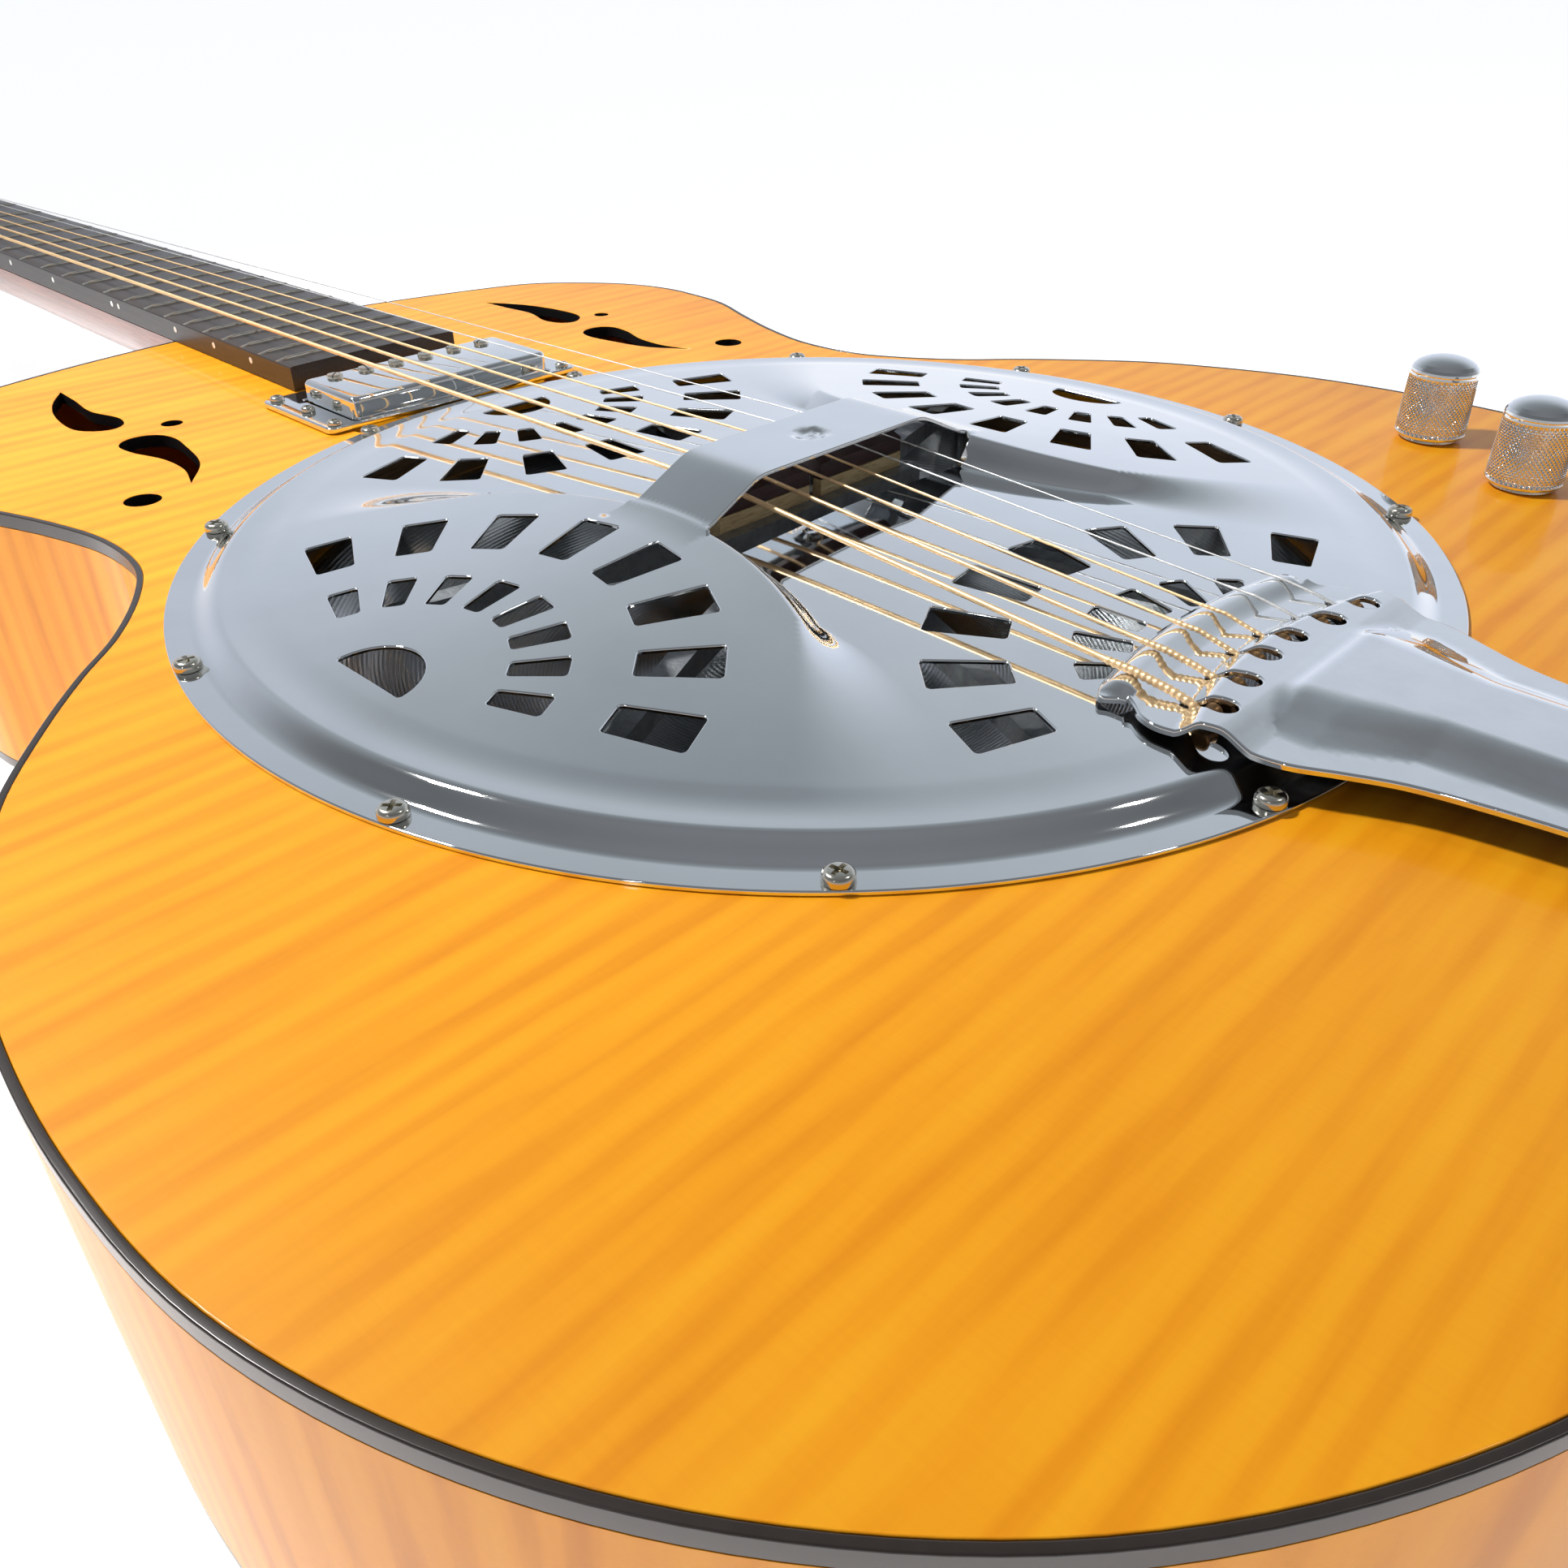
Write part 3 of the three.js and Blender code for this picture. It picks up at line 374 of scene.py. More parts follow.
def merge_geo(parts):
    """Joins (verts, faces) lists into one."""
    V, F, n = [], [], 0
    for v, f in parts:
        v = np.asarray(v, float)
        V.append(v)
        F += [tuple(i + n for i in q) for q in f]
        n += len(v)
    return np.concatenate(V), F


def lathe_geo(profile, n=48, axis=(0, 0, 1), at=(0, 0, 0), wave=None):
    """profile: (r, h) pairs. Points at r 0 become poles."""
    V, F = [], []
    rows = []
    for k, (r, h) in enumerate(profile):
        if r < 1e-6:
            rows.append([len(V)])
            V.append((0, 0, h))
        else:
            row = []
            for i in range(n):
                a = 2 * math.pi * i / n
                rr = r + (wave(k, a, h) if wave else 0)
                row.append(len(V))
                V.append((rr * math.cos(a), rr * math.sin(a), h))
            rows.append(row)
    for a, b in zip(rows, rows[1:]):
        if len(a) == 1 and len(b) == 1:
            continue
        if len(a) == 1:
            F += [(a[0], b[i], b[(i + 1) % n]) for i in range(n)]
        elif len(b) == 1:
            F += [(a[i], b[0], a[(i + 1) % n]) for i in range(n)]
        else:
            F += [(a[i], b[i], b[(i + 1) % n], a[(i + 1) % n]) for i in range(n)]
    V = np.array(V, float)
    z = Vector(axis).normalized()
    q = Vector((0, 0, 1)).rotation_difference(z).to_matrix()
    V = V @ np.array(q).T + np.array(at, float)
    return V, F


def ring_pts(r, n=64, cx=0.0, cy=0.0):
    return [(cx + r * math.cos(2 * math.pi * i / n), cy + r * math.sin(2 * math.pi * i / n)) for i in range(n)]


def curve_slab(outer, holes, z0, z1, bev=0.0, res=3):
    """Flat plate with holes and rounded edges as (verts, faces), from a filled 2D curve."""
    cu = bpy.data.curves.new("tmp", "CURVE")
    cu.dimensions = "2D"
    cu.fill_mode = "BOTH"
    for loop in [outer] + list(holes):
        s = cu.splines.new("POLY")
        s.points.add(len(loop) - 1)
        for p, q in zip(s.points, loop):
            p.co = (q[0], q[1], 0, 1)
        s.use_cyclic_u = True
    cu.extrude = (z1 - z0) / 2 - bev
    cu.bevel_depth = bev
    cu.bevel_resolution = res
    cu.offset = -bev
    o = bpy.data.objects.new("tmp", cu)
    bpy.context.scene.collection.objects.link(o)
    bpy.context.view_layer.update()
    me = bpy.data.meshes.new_from_object(o.evaluated_get(bpy.context.evaluated_depsgraph_get()))
    bm = bmesh.new()
    bm.from_mesh(me)
    bmesh.ops.remove_doubles(bm, verts=bm.verts, dist=1e-4)
    V = [(v.co.x, v.co.y, v.co.z + (z0 + z1) / 2) for v in bm.verts]
    for i, v in enumerate(bm.verts):
        v.index = i
    F = [tuple(v.index for v in f.verts) for f in bm.faces]
    bm.free()
    bpy.data.objects.remove(o)
    bpy.data.curves.remove(cu)
    bpy.data.meshes.remove(me)
    return np.array(V, float), F


def round_poly(pts, r, n=5):
    """Rounds the corners of a polygon. r may be one number or one per corner."""
    out = []
    N = len(pts)
    for i in range(N):
        rr = r[i] if hasattr(r, "__len__") else r
        p = np.array(pts[i], float)
        a = np.array(pts[i - 1], float) - p
        b = np.array(pts[(i + 1) % N], float) - p
        la, lb = np.linalg.norm(a), np.linalg.norm(b)
        a, b = a / la, b / lb
        cosang = float(np.clip(a @ b, -1, 1))
        half = math.acos(cosang) / 2
        if rr <= 0 or half > rad(86):
            out.append(tuple(p))
            continue
        t = min(rr / math.tan(half), la * 0.45, lb * 0.45)
        r2 = t * math.tan(half)
        c = p + (a + b) / np.linalg.norm(a + b) * (r2 / math.sin(half))
        s, e = p + a * t - c, p + b * t - c
        a0, a1 = math.atan2(s[1], s[0]), math.atan2(e[1], e[0])
        d = (a1 - a0 + math.pi) % (2 * math.pi) - math.pi
        for k in range(n + 1):
            q = a0 + d * k / n
            out.append((c[0] + r2 * math.cos(q), c[1] + r2 * math.sin(q)))
    return out


def area2(p):
    p = np.asarray(p, float)
    x, y = p[:, 0], p[:, 1]
    return 0.5 * float(np.sum(x * np.roll(y, -1) - np.roll(x, -1) * y))


def offset_loop(pts, d):
    """Moves a closed loop outwards by d (inwards if negative)."""
    p = np.asarray(pts, float)
    if area2(p) < 0:
        p = p[::-1]
    e = np.roll(p, -1, 0) - p
    e /= np.linalg.norm(e, axis=1, keepdims=True)
    nr = np.stack([e[:, 1], -e[:, 0]], 1)
    n2 = nr + np.roll(nr, 1, 0)
    n2 /= np.linalg.norm(n2, axis=1, keepdims=True)
    k = np.clip((n2 * nr).sum(1), 0.5, 1)
    return p + n2 * (d / k)[:, None]


def inside(pts, loop):
    """Which of pts lie inside a closed loop."""
    x, y = pts[:, 0], pts[:, 1]
    q = np.asarray(loop)
    c = np.zeros(len(pts), bool)
    for (x0, y0), (x1, y1) in zip(q, np.roll(q, -1, 0)):
        if y0 == y1:
            continue
        k = ((y0 > y) != (y1 > y)) & (x < (x1 - x0) * (y - y0) / (y1 - y0) + x0)
        c ^= k
    return c


def near_loop(pts, loop, d):
    q = np.asarray(loop)
    r = np.roll(q, -1, 0)
    out = np.zeros(len(pts), bool)
    lo, hi = q.min(0) - d, q.max(0) + d
    sel = np.where((pts[:, 0] > lo[0]) & (pts[:, 0] < hi[0]) & (pts[:, 1] > lo[1]) & (pts[:, 1] < hi[1]))[0]
    if not len(sel):
        return out
    s = pts[sel]
    best = np.full(len(sel), 1e9)
    for a, b in zip(q, r):
        ab = b - a
        t = np.clip(((s - a) @ ab) / max(ab @ ab, 1e-12), 0, 1)
        best = np.minimum(best, np.linalg.norm(s - (a + t[:, None] * ab), axis=1))
    out[sel] = best < d
    return out


def sheet_geo(zf, outer, holes, pts, thick, roll=0.45, steps=3):
    """A thin pressed sheet over the height function zf(x, y), with rolled edges round every loop.
    Returns verts, faces and smooth normals."""
    loops = [np.asarray(offset_loop(outer, -roll))] + [np.asarray(offset_loop(h, roll)) for h in holes]
    pts = np.asarray(pts, float)
    keep = inside(pts, loops[0]) & ~near_loop(pts, loops[0], 0.5)
    for l in loops[1:]:
        lo, hi = l.min(0) - 1, l.max(0) + 1
        s = np.where((pts[:, 0] > lo[0]) & (pts[:, 0] < hi[0]) & (pts[:, 1] > lo[1]) & (pts[:, 1] < hi[1]))[0]
        if len(s):
            bad = inside(pts[s], l) | near_loop(pts[s], l, 0.45)
            keep[s[bad]] = False
    pts = pts[keep]
    allp = np.concatenate(loops + [pts])
    edges, off = [], 0
    for l in loops:
        n = len(l)
        edges += [(off + i, off + (i + 1) % n) for i in range(n)]
        off += n
    res = delaunay_2d_cdt([Vector(p) for p in allp], edges, [], 0, 1e-5, True)
    vv = np.array([tuple(v) for v in res[0]], float)
    tri = np.array([f for f in res[2] if len(f) == 3], int)
    orig = res[3]
    back = {}
    for i, o in enumerate(orig):
        for q in o:
            back[q] = i
    cen = vv[tri].mean(1)
    ok = inside(cen, loops[0])
    for l in loops[1:]:
        lo, hi = l.min(0), l.max(0)
        s = np.where((cen[:, 0] > lo[0]) & (cen[:, 0] < hi[0]) & (cen[:, 1] > lo[1]) & (cen[:, 1] < hi[1]))[0]
        if len(s):
            ok[s[inside(cen[s], l)]] = False
    tri = tri[ok]
    n = len(vv)
    z = zf(vv[:, 0], vv[:, 1])
    e = 0.02
    gx = (zf(vv[:, 0] + e, vv[:, 1]) - zf(vv[:, 0] - e, vv[:, 1])) / (2 * e)
    gy = (zf(vv[:, 0], vv[:, 1] + e) - zf(vv[:, 0], vv[:, 1] - e)) / (2 * e)
    nn = np.stack([-gx, -gy, np.ones(n)], 1)
    nn /= np.linalg.norm(nn, axis=1, keepdims=True)
    V = [np.column_stack([vv, z]), np.column_stack([vv, z - thick])]
    Nn = [nn, -nn]
    a = vv[tri]
    cr = (a[:, 1, 0] - a[:, 0, 0]) * (a[:, 2, 1] - a[:, 0, 1]) - (a[:, 1, 1] - a[:, 0, 1]) * (a[:, 2, 0] - a[:, 0, 0])
    tri[cr < 0] = tri[cr < 0][:, ::-1]
    F = [tuple(t) for t in tri] + [tuple(q + n for q in t[::-1]) for t in tri]
    base = 2 * n
    off = 0
    for li, l in enumerate(loops):
        m = len(l)
        idx = [back[off + i] for i in range(m)]
        off += m
        sgn = 1 if li == 0 else -1
        # direction from the sheet towards its free edge
        d = offset_loop(l, 1.0) - l if li == 0 else -(offset_loop(l, 1.0) - l)
        d /= np.linalg.norm(d, axis=1, keepdims=True)
        zl = z[idx]
        rows = [idx]
        for k in range(1, steps + 1):
            ang = math.pi / 2 * k / steps
            q = l + d * roll * math.sin(ang)
            zz = zl - roll * (1 - math.cos(ang))
            V.append(np.column_stack([q, zz]))
            Nn.append(np.column_stack([d * math.sin(ang), np.full(m, math.cos(ang))]))
            rows.append(list(range(base, base + m)))
            base += m
        q = l + d * roll
        V.append(np.column_stack([q, zl - thick]))
        Nn.append(np.column_stack([d, np.full(m, 0.0)]))
        rows.append(list(range(base, base + m)))
        base += m
        rows.append([i + n for i in idx])
        for r0, r1 in zip(rows, rows[1:]):
            for i in range(m):
                j = (i + 1) % m
                F.append((r0[i], r1[i], r1[j], r0[j]) if li == 0 else (r0[i], r0[j], r1[j], r1[i]))
    return np.concatenate(V), F, np.concatenate(Nn)


def set_normals(o, nn):
    me = o.data
    me.normals_split_custom_set_from_vertices([tuple(v) for v in nn])


def tube_geo(pts, r, n=12, radii=None, closed_ends=True):
    P_ = [Vector(p) for p in pts]
    T = []
    for i in range(len(P_)):
        a, b = P_[max(i - 1, 0)], P_[min(i + 1, len(P_) - 1)]
        T.append((b - a).normalized())
    nrm = Vector((0, 0, 1))
    if abs(T[0].z) > 0.9:
        nrm = Vector((1, 0, 0))
    V, F = [], []
    for i, p in enumerate(P_):
        nrm = (nrm - T[i] * nrm.dot(T[i])).normalized()
        b = T[i].cross(nrm)
        rr = radii[i] if radii is not None else r
        for k in range(n):
            a = 2 * math.pi * k / n
            q = p + nrm * (rr * math.cos(a)) + b * (rr * math.sin(a))
            V.append(tuple(q))
    m = len(P_)
    for i in range(m - 1):
        for k in range(n):
            j = (k + 1) % n
            F.append((i * n + k, i * n + j, (i + 1) * n + j, (i + 1) * n + k))
    if closed_ends:
        F.append(tuple(reversed(range(n))))
        F.append(tuple(range((m - 1) * n, m * n)))
    return np.array(V), F


def loft_geo(rings, cap=True):
    n = len(rings[0])
    V = np.array([p for r in rings for p in r], float)
    F = []
    for k in range(len(rings) - 1):
        for i in range(n):
            j = (i + 1) % n
            F.append((k * n + i, k * n + j, (k + 1) * n + j, (k + 1) * n + i))
    if cap:
        F.append(tuple(reversed(range(n))))
        F.append(tuple(range((len(rings) - 1) * n, len(rings) * n)))
    return V, F


def catmull(pts, per=12, closed=False):
    """Centripetal Catmull-Rom through 2D or 3D points."""
    p = [np.array(q, float) for q in pts]
    N = len(p)
    out = []
    rng = range(N) if closed else range(N - 1)
    for i in rng:
        if closed:
            p0, p1, p2, p3 = p[(i - 1) % N], p[i], p[(i + 1) % N], p[(i + 2) % N]
        else:
            p1, p2 = p[i], p[i + 1]
            p0 = p[i - 1] if i > 0 else p1 + (p1 - p2)
            p3 = p[i + 2] if i + 2 < N else p2 + (p2 - p1)
        t0 = 0.0
        t1 = t0 + max(np.linalg.norm(p1 - p0), 1e-6) ** 0.5
        t2 = t1 + max(np.linalg.norm(p2 - p1), 1e-6) ** 0.5
        t3 = t2 + max(np.linalg.norm(p3 - p2), 1e-6) ** 0.5
        for k in range(per):
            t = t1 + (t2 - t1) * k / per
            a1 = p0 * (t1 - t) / (t1 - t0) + p1 * (t - t0) / (t1 - t0)
            a2 = p1 * (t2 - t) / (t2 - t1) + p2 * (t - t1) / (t2 - t1)
            a3 = p2 * (t3 - t) / (t3 - t2) + p3 * (t - t2) / (t3 - t2)
            b1 = a1 * (t2 - t) / (t2 - t0) + a2 * (t - t0) / (t2 - t0)
            b2 = a2 * (t3 - t) / (t3 - t1) + a3 * (t - t1) / (t3 - t1)
            out.append(b1 * (t2 - t) / (t2 - t1) + b2 * (t - t1) / (t2 - t1))
    if not closed:
        out.append(p[-1])
    return [tuple(q) for q in out]


# ------------------------------------------------------------------ body
HALF = [(-278, 28), (-275, 50), (-267, 85), (-258.5, 109.5), (-244.5, 125), (-227, 137), (-209.5, 142),
        (-195, 142), (-178, 140), (-157, 132), (-136, 124.5), (-115, 119.8), (-94, 121), (-80, 127),
        (-62.5, 139), (-50, 151), (-34.5, 164), (-15, 178), (4, 187), (25, 194.5), (45, 198.6), (72, 200.5),
        (100, 198.5), (128, 190), (155, 175), (180, 153), (200, 124), (214, 90), (223, 52), (227, 20), (227.5, 0)]


def body_outline():
    c = catmull(HALF, 7)
    c = [(x, max(y, 0.0)) for x, y in c]
    lower = [(x, -y) for x, y in reversed(c[:-1])]
    return c + lower


RIM = body_outline()


def piece(name, geo, mat, body="body", replaces=(), angle=32):
    o = obj_from(name, geo[0], geo[1], M[mat], body, angle)
    if replaces:
        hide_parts(*replaces)
    return o


def moved(geo, loc=(0, 0, 0), rot=0.0, axis=None):
    """Turns a piece about z by rot degrees, leans its z onto axis, then moves it."""
    V = np.asarray(geo[0], float)
    if rot:
        c, s = math.cos(rad(rot)), math.sin(rad(rot))
        V = V @ np.array([[c, -s, 0], [s, c, 0], [0, 0, 1]]).T
    if axis is not None:
        q = Vector((0, 0, 1)).rotation_difference(Vector(axis).normalized()).to_matrix()
        V = V @ np.array(q).T
    return V + np.array(loc, float), geo[1]


def on_head(geo, u=0.0, w=0.0, n=0.0, turn=0.0):
    """Local x towards the body, y across, z out of the headstock's face."""
    V = np.asarray(geo[0], float)
    if turn:
        c, s = math.cos(rad(turn)), math.sin(rad(turn))
        V = V @ np.array([[c, -s, 0], [s, c, 0], [0, 0, 1]]).T
    V = V + np.array([-u, w, n])
    ct, st = math.cos(TILT), math.sin(TILT)
    x = HX + V[:, 0] * ct - V[:, 2] * st
    z = V[:, 0] * st + V[:, 2] * ct
    return np.column_stack([x, V[:, 1], z]), geo[1]


def rrect(x0, x1, y0, y1, r, n=5):
    return round_poly([(x0, y0), (x1, y0), (x1, y1), (x0, y1)], r, n)


def box_geo(x0, x1, y0, y1, z0, z1, bev=0.3, r=0.5):
    return curve_slab(rrect(x0, x1, y0, y1, max(r, bev * 1.05), 3), [], z0, z1, bev, 2)


def boolean(a, b, how="DIFFERENCE"):
    """a cut by b, both (verts, faces)."""
    obs = []
    for g in (a, b):
        me = bpy.data.meshes.new("tmp")
        me.from_pydata([tuple(p) for p in np.asarray(g[0], float)], [], [tuple(int(i) for i in f) for f in g[1]])
        bm = bmesh.new()
        bm.from_mesh(me)
        bmesh.ops.recalc_face_normals(bm, faces=bm.faces)
        bm.to_mesh(me)
        bm.free()
        o = bpy.data.objects.new("tmp", me)
        bpy.context.scene.collection.objects.link(o)
        obs.append(o)
    md = obs[0].modifiers.new("b", "BOOLEAN")
    md.operation = how
    md.solver = "EXACT"
    md.object = obs[1]
    bpy.context.view_layer.update()
    me = bpy.data.meshes.new_from_object(obs[0].evaluated_get(bpy.context.evaluated_depsgraph_get()))
    V = np.array([tuple(v.co) for v in me.vertices], float)
    F = [tuple(p.vertices) for p in me.polygons]
    for o in obs:
        d = o.data
        bpy.data.objects.remove(o)
        bpy.data.meshes.remove(d)
    bpy.data.meshes.remove(me)
    return V, F


def cross_screw(hr, hh, sr, sl, dome=0.45, n=40):
    """Pan head screw with a cross recess, head's underside at z 0."""
    prof = [(0, -sl), (sr, -sl + 0.3), (sr, 0), (hr - 0.12, 0), (hr, 0.14), (hr, hh * 0.42)]
    for k in range(1, 7):
        a = rad(90 * k / 7)
        prof.append((hr - (hr * dome) * (1 - math.cos(a)), hh * 0.42 + hh * 0.58 * math.sin(a)))
    prof.append((0, hh))
    g = lathe_geo(prof, n)
    w, l = hr * 0.16, hr * 0.6
    cr = [(-w, -l), (w, -l), (w, -w), (l, -w), (l, w), (w, w), (w, l), (-w, l), (-w, w), (-l, w), (-l, -w), (-w, -w)]
    V = np.array([(x * 0.72, y * 0.72, hh - hr * 0.42) for x, y in cr] + [(x * 1.12, y * 1.12, hh + 0.5) for x, y in cr])
    m = len(cr)
    F = [tuple(reversed(range(m))), tuple(range(m, 2 * m))] + [(i, (i + 1) % m, (i + 1) % m + m, i + m) for i in range(m)]
    return boolean(g, (V, F))


TEAR1 = [(-245, 79), (-232, 79.6), (-218, 80.6), (-205, 77.4), (-198, 79.4), (-196, 83.5), (-199, 88.5), (-204, 91), (-220, 90), (-233, 86)]
TEAR2 = [(-184, 80), (-181.5, 76.2), (-176, 74.4), (-166, 75.4), (-150, 79), (-137, 87.5), (-148, 84.2), (-160, 84.4), (-172, 88), (-180, 88.2), (-183.6, 85)]


def tear(pts, tip):
    """Closed smooth loop that keeps one sharp tip."""
    k = tip
    q = pts[k:] + pts[:k]
    return catmull(q + [q[0]], 6)[:-1]


t1 = tear(TEAR1, 0)
t2 = tear(TEAR2, 5)
mir = lambda l: [(x, -y) for x, y in reversed(l)]
KNOBS = [(80, 162.5), (112, 141)]
SCREWS = [(139.7 * math.cos(rad(15 + 30 * k)), 139.7 * math.sin(rad(15 + 30 * k))) for k in range(12)]
top_in = [tuple(p) for p in offset_loop(RIM, -1.45)]
holes = [ring_pts(134.5, 160), rrect(-177.2, -140.6, -36.5, 36.5, 2), t1, t2, mir(t1), mir(t2),
         ring_pts(2.6, 28, -197, 97), ring_pts(4.5, 36, -134, 101.5), ring_pts(3.0, 28, -189, -69), ring_pts(4.5, 36, -134, -101.5)]
holes += [ring_pts(4.2, 28, *k) for k in KNOBS] + [ring_pts(1.75, 14, *k) for k in SCREWS]
sbo = piece("soundboard_plate", curve_slab(top_in, holes, -3.6, 0.0, 0.25, 3), "maple_top", replaces=["soundboard"])
# Painted shade: the soundboard's underside and the walls of the f-holes and the four small holes get black plastic,
# standing in for the dark inside of the body.
sbo.data.materials.append(M["black"])
_hole_shade_loops = [np.array(l) for l in holes[2:10]]
for pl in sbo.data.polygons:
    if pl.normal.z < 0.35:
        cx, cy = pl.center.x * 1000 - SX, pl.center.y * 1000
        if pl.normal.z < -0.7 or any(l[:, 0].min() - 1 < cx < l[:, 0].max() + 1 and l[:, 1].min() - 1 < cy < l[:, 1].max() + 1 for l in _hole_shade_loops):
            pl.material_index = 1
# A thin dark band round the edge of the top, and one round the edge of the back.
piece("edge_line_top", curve_slab(RIM, [[tuple(p) for p in offset_loop(RIM, -1.4)]], -3.6, 0.0, 0.3, 3), "dark_edge_band", replaces=["soundboard"])
piece("body_sides", curve_slab(RIM, [[tuple(p) for p in offset_loop(RIM, -3.0)]], -78.55, -3.65, 0.1, 1), "maple_back", replaces=["sides"])
piece("back_panel", curve_slab([tuple(p) for p in offset_loop(RIM, -0.85)], [], -82.0, -78.6, 0.3, 3), "maple_back", replaces=["back_plate"])
piece("edge_line_back", curve_slab(RIM, [[tuple(p) for p in offset_loop(RIM, -0.8)]], -81.9, -78.6, 0.3, 3), "dark_edge_band", replaces=["back_plate"])

# ------------------------------------------------------------------ cover plate
RIM_Z = 0.95


def cover_z(x, y):
    x, y = np.asarray(x, float), np.asarray(y, float)
    r = np.hypot(x, y)
    q = np.minimum(r, 130.8)
    zb = 4.4 + (125 - q) * 0.043
    za = 4.4 + (125 - q) * 0.127
    ax, ay = np.abs(x), np.abs(y)
    g = 39.7 + 16.3 * (ax / 56) ** 2.2
    w = 3.6 + 0.45 * np.maximum(0, ax - 48)
    dish = zb + (za - zb) * smooth01((ay - g + w) / (2 * w))
    # the dish levels off, then a shoulder drops to the flat rim
    e = np.clip((r - 120.0) / 10.8, 0, 1)
    dish = dish - (dish - 4.15) * e * e * (3 - 2 * e)
    u = np.clip((137.6 - r) / 6.8, 0, 1)
    dish = np.where(r > 130.8, RIM_Z + (4.15 - RIM_Z) * (u * u * (3 - 2 * u)), dish)
    t = (ay - 27.2) / 1.1
    soft = 1.1 * np.where(t > 20, t, np.log1p(np.exp(np.minimum(t, 20))))
    rest = 22.5 - 0.48 * soft
    dr = np.hypot(x, y)
    rest = rest - 1.1 * np.exp(-(dr / 3.6) ** 6) + 0.75 * np.exp(-(dr / 1.5) ** 4)
    k = 0.9
    m = np.maximum(dish, rest)
    d = np.abs(dish - rest)
    sm = m + np.where(d < 3 * k, (3 * k - d) ** 2 / (12 * k), 0)
    strip = (x > -13) & (x < 12)
    return np.where(strip, sm, dish)


def fan(direction):
    c, s = math.cos(direction), math.sin(direction)
    out = []

    def place(a, rr):
        return (c * (117.3 - rr * math.cos(a)) - s * rr * math.sin(a), s * (117.3 - rr * math.cos(a)) + c * rr * math.sin(a))

    for a0 in (9.4, 28.4, 47.3, 66.2):
        for q in (-1, 1):
            for r0, r1, aw in ((49.3, 65.5, 8.9), (26.2, 37.4, 9.4)):
                a, h = rad(q * a0), rad(aw / 2)
                out.append(round_poly([place(a - h, r0), place(a - h, r1), place(a + h, r1), place(a + h, r0)], 0.9, 4))
    moon = [place(rad(-90 + 180 * b / 20), 10.6) for b in range(21)]
    out.append(round_poly(moon, [0.9] + [0] * 19 + [0.9], 4))
    return out


slots = []
for d in (0, 90, 180, 270):
    slots += fan(rad(d))
tail_slot = round_poly([(11.0, -43.0), (13.3, -43.0), (13.3, 43.0), (11.0, 43.0)], 1.0, 4)
neck_slot = round_poly([(-14.2, -43.0), (-12.0, -43.0), (-12.0, 43.0), (-14.2, 43.0)], 1.0, 4)


def densify(loop, step):
    out = []
    n = len(loop)
    for i in range(n):
        a, b = np.array(loop[i]), np.array(loop[(i + 1) % n])
        k = max(1, int(np.linalg.norm(b - a) / step))
        out += [tuple(a + (b - a) * j / k) for j in range(k)]
    return out


cov_holes = [densify(s, 2.2) for s in slots] + [densify(tail_slot, 1.2), densify(neck_slot, 1.2)]
cov_holes += [ring_pts(1.75, 16, *k) for k in SCREWS]
grid = []


def on_wall(x, y):
    g = 39.7 + 16.3 * (abs(x) / 56) ** 2.2
    w = 3.6 + 0.45 * max(0, abs(x) - 48)
    return abs(x) < 78 and abs(abs(y) - g) < w + 2.0


for i in range(-66, 67):
    x = i * 1.2
    if -14 < x < 13.5:
        continue
    for sy in (-1, 1):
        g = 39.7 + 16.3 * (abs(x) / 56) ** 2.2
        w = 3.6 + 0.45 * max(0, abs(x) - 48)
        k = int((2 * w + 4) / (1.0 if abs(x) < 56 else 1.6))
        for j in range(k + 1):
            q = (x, sy * (g - w - 2 + (2 * w + 4) * j / k))
            if math.hypot(*q) < 115:
                grid.append(q)
step = 2.0
for i in range(-62, 63):
    for j in range(-62, 63):
        x, y = i * step + (step / 2 if j % 2 else 0), j * step * 0.866
        if x * x + y * y < 115.5 ** 2 and not (-14 < x < 13.5 and abs(y) < 50) and not on_wall(x, y):
            grid.append((x, y))
for r in list(np.arange(116.4, 130.2, 1.25)) + list(np.arange(130.8, 138.0, 0.5)) + [138.9, 139.9, 141.0]:
    grid += [(r * math.cos(2 * math.pi * i / 480), r * math.sin(2 * math.pi * i / 480)) for i in range(480)]
ys = list(np.arange(-22, 22.1, 1.8)) + [q * v for q in (-1, 1) for v in list(np.arange(23.5, 32.5, 0.7)) + list(np.arange(33.5, 40, 1.4)) + list(np.arange(40.4, 49.6, 0.7))]
for i, y in enumerate(sorted(ys)):
    for x in np.arange(-13.4, 13.2, 1.4):
        grid.append((x + (0.7 if i % 2 else 0), y))
cov = sheet_geo(cover_z, ring_pts(142.5, 480), cov_holes, grid, 0.75, 0.34)
o = piece("cover_plate_sheet", (cov[0], cov[1]), "chrome", replaces=["cover_plate"])
o.data.set_sharp_from_angle(angle=rad(180))
set_normals(o, cov[2])

scr = cross_screw(2.7, 1.95, 1.3, 4.2)
for k, (x, y) in enumerate(SCREWS):
    piece("cover_screw_head_%02d" % (k + 1), moved(scr, (x, y, RIM_Z + 0.06), 17 + 53 * k), "nickel", replaces=["cover_screw_%02d" % (k + 1)])

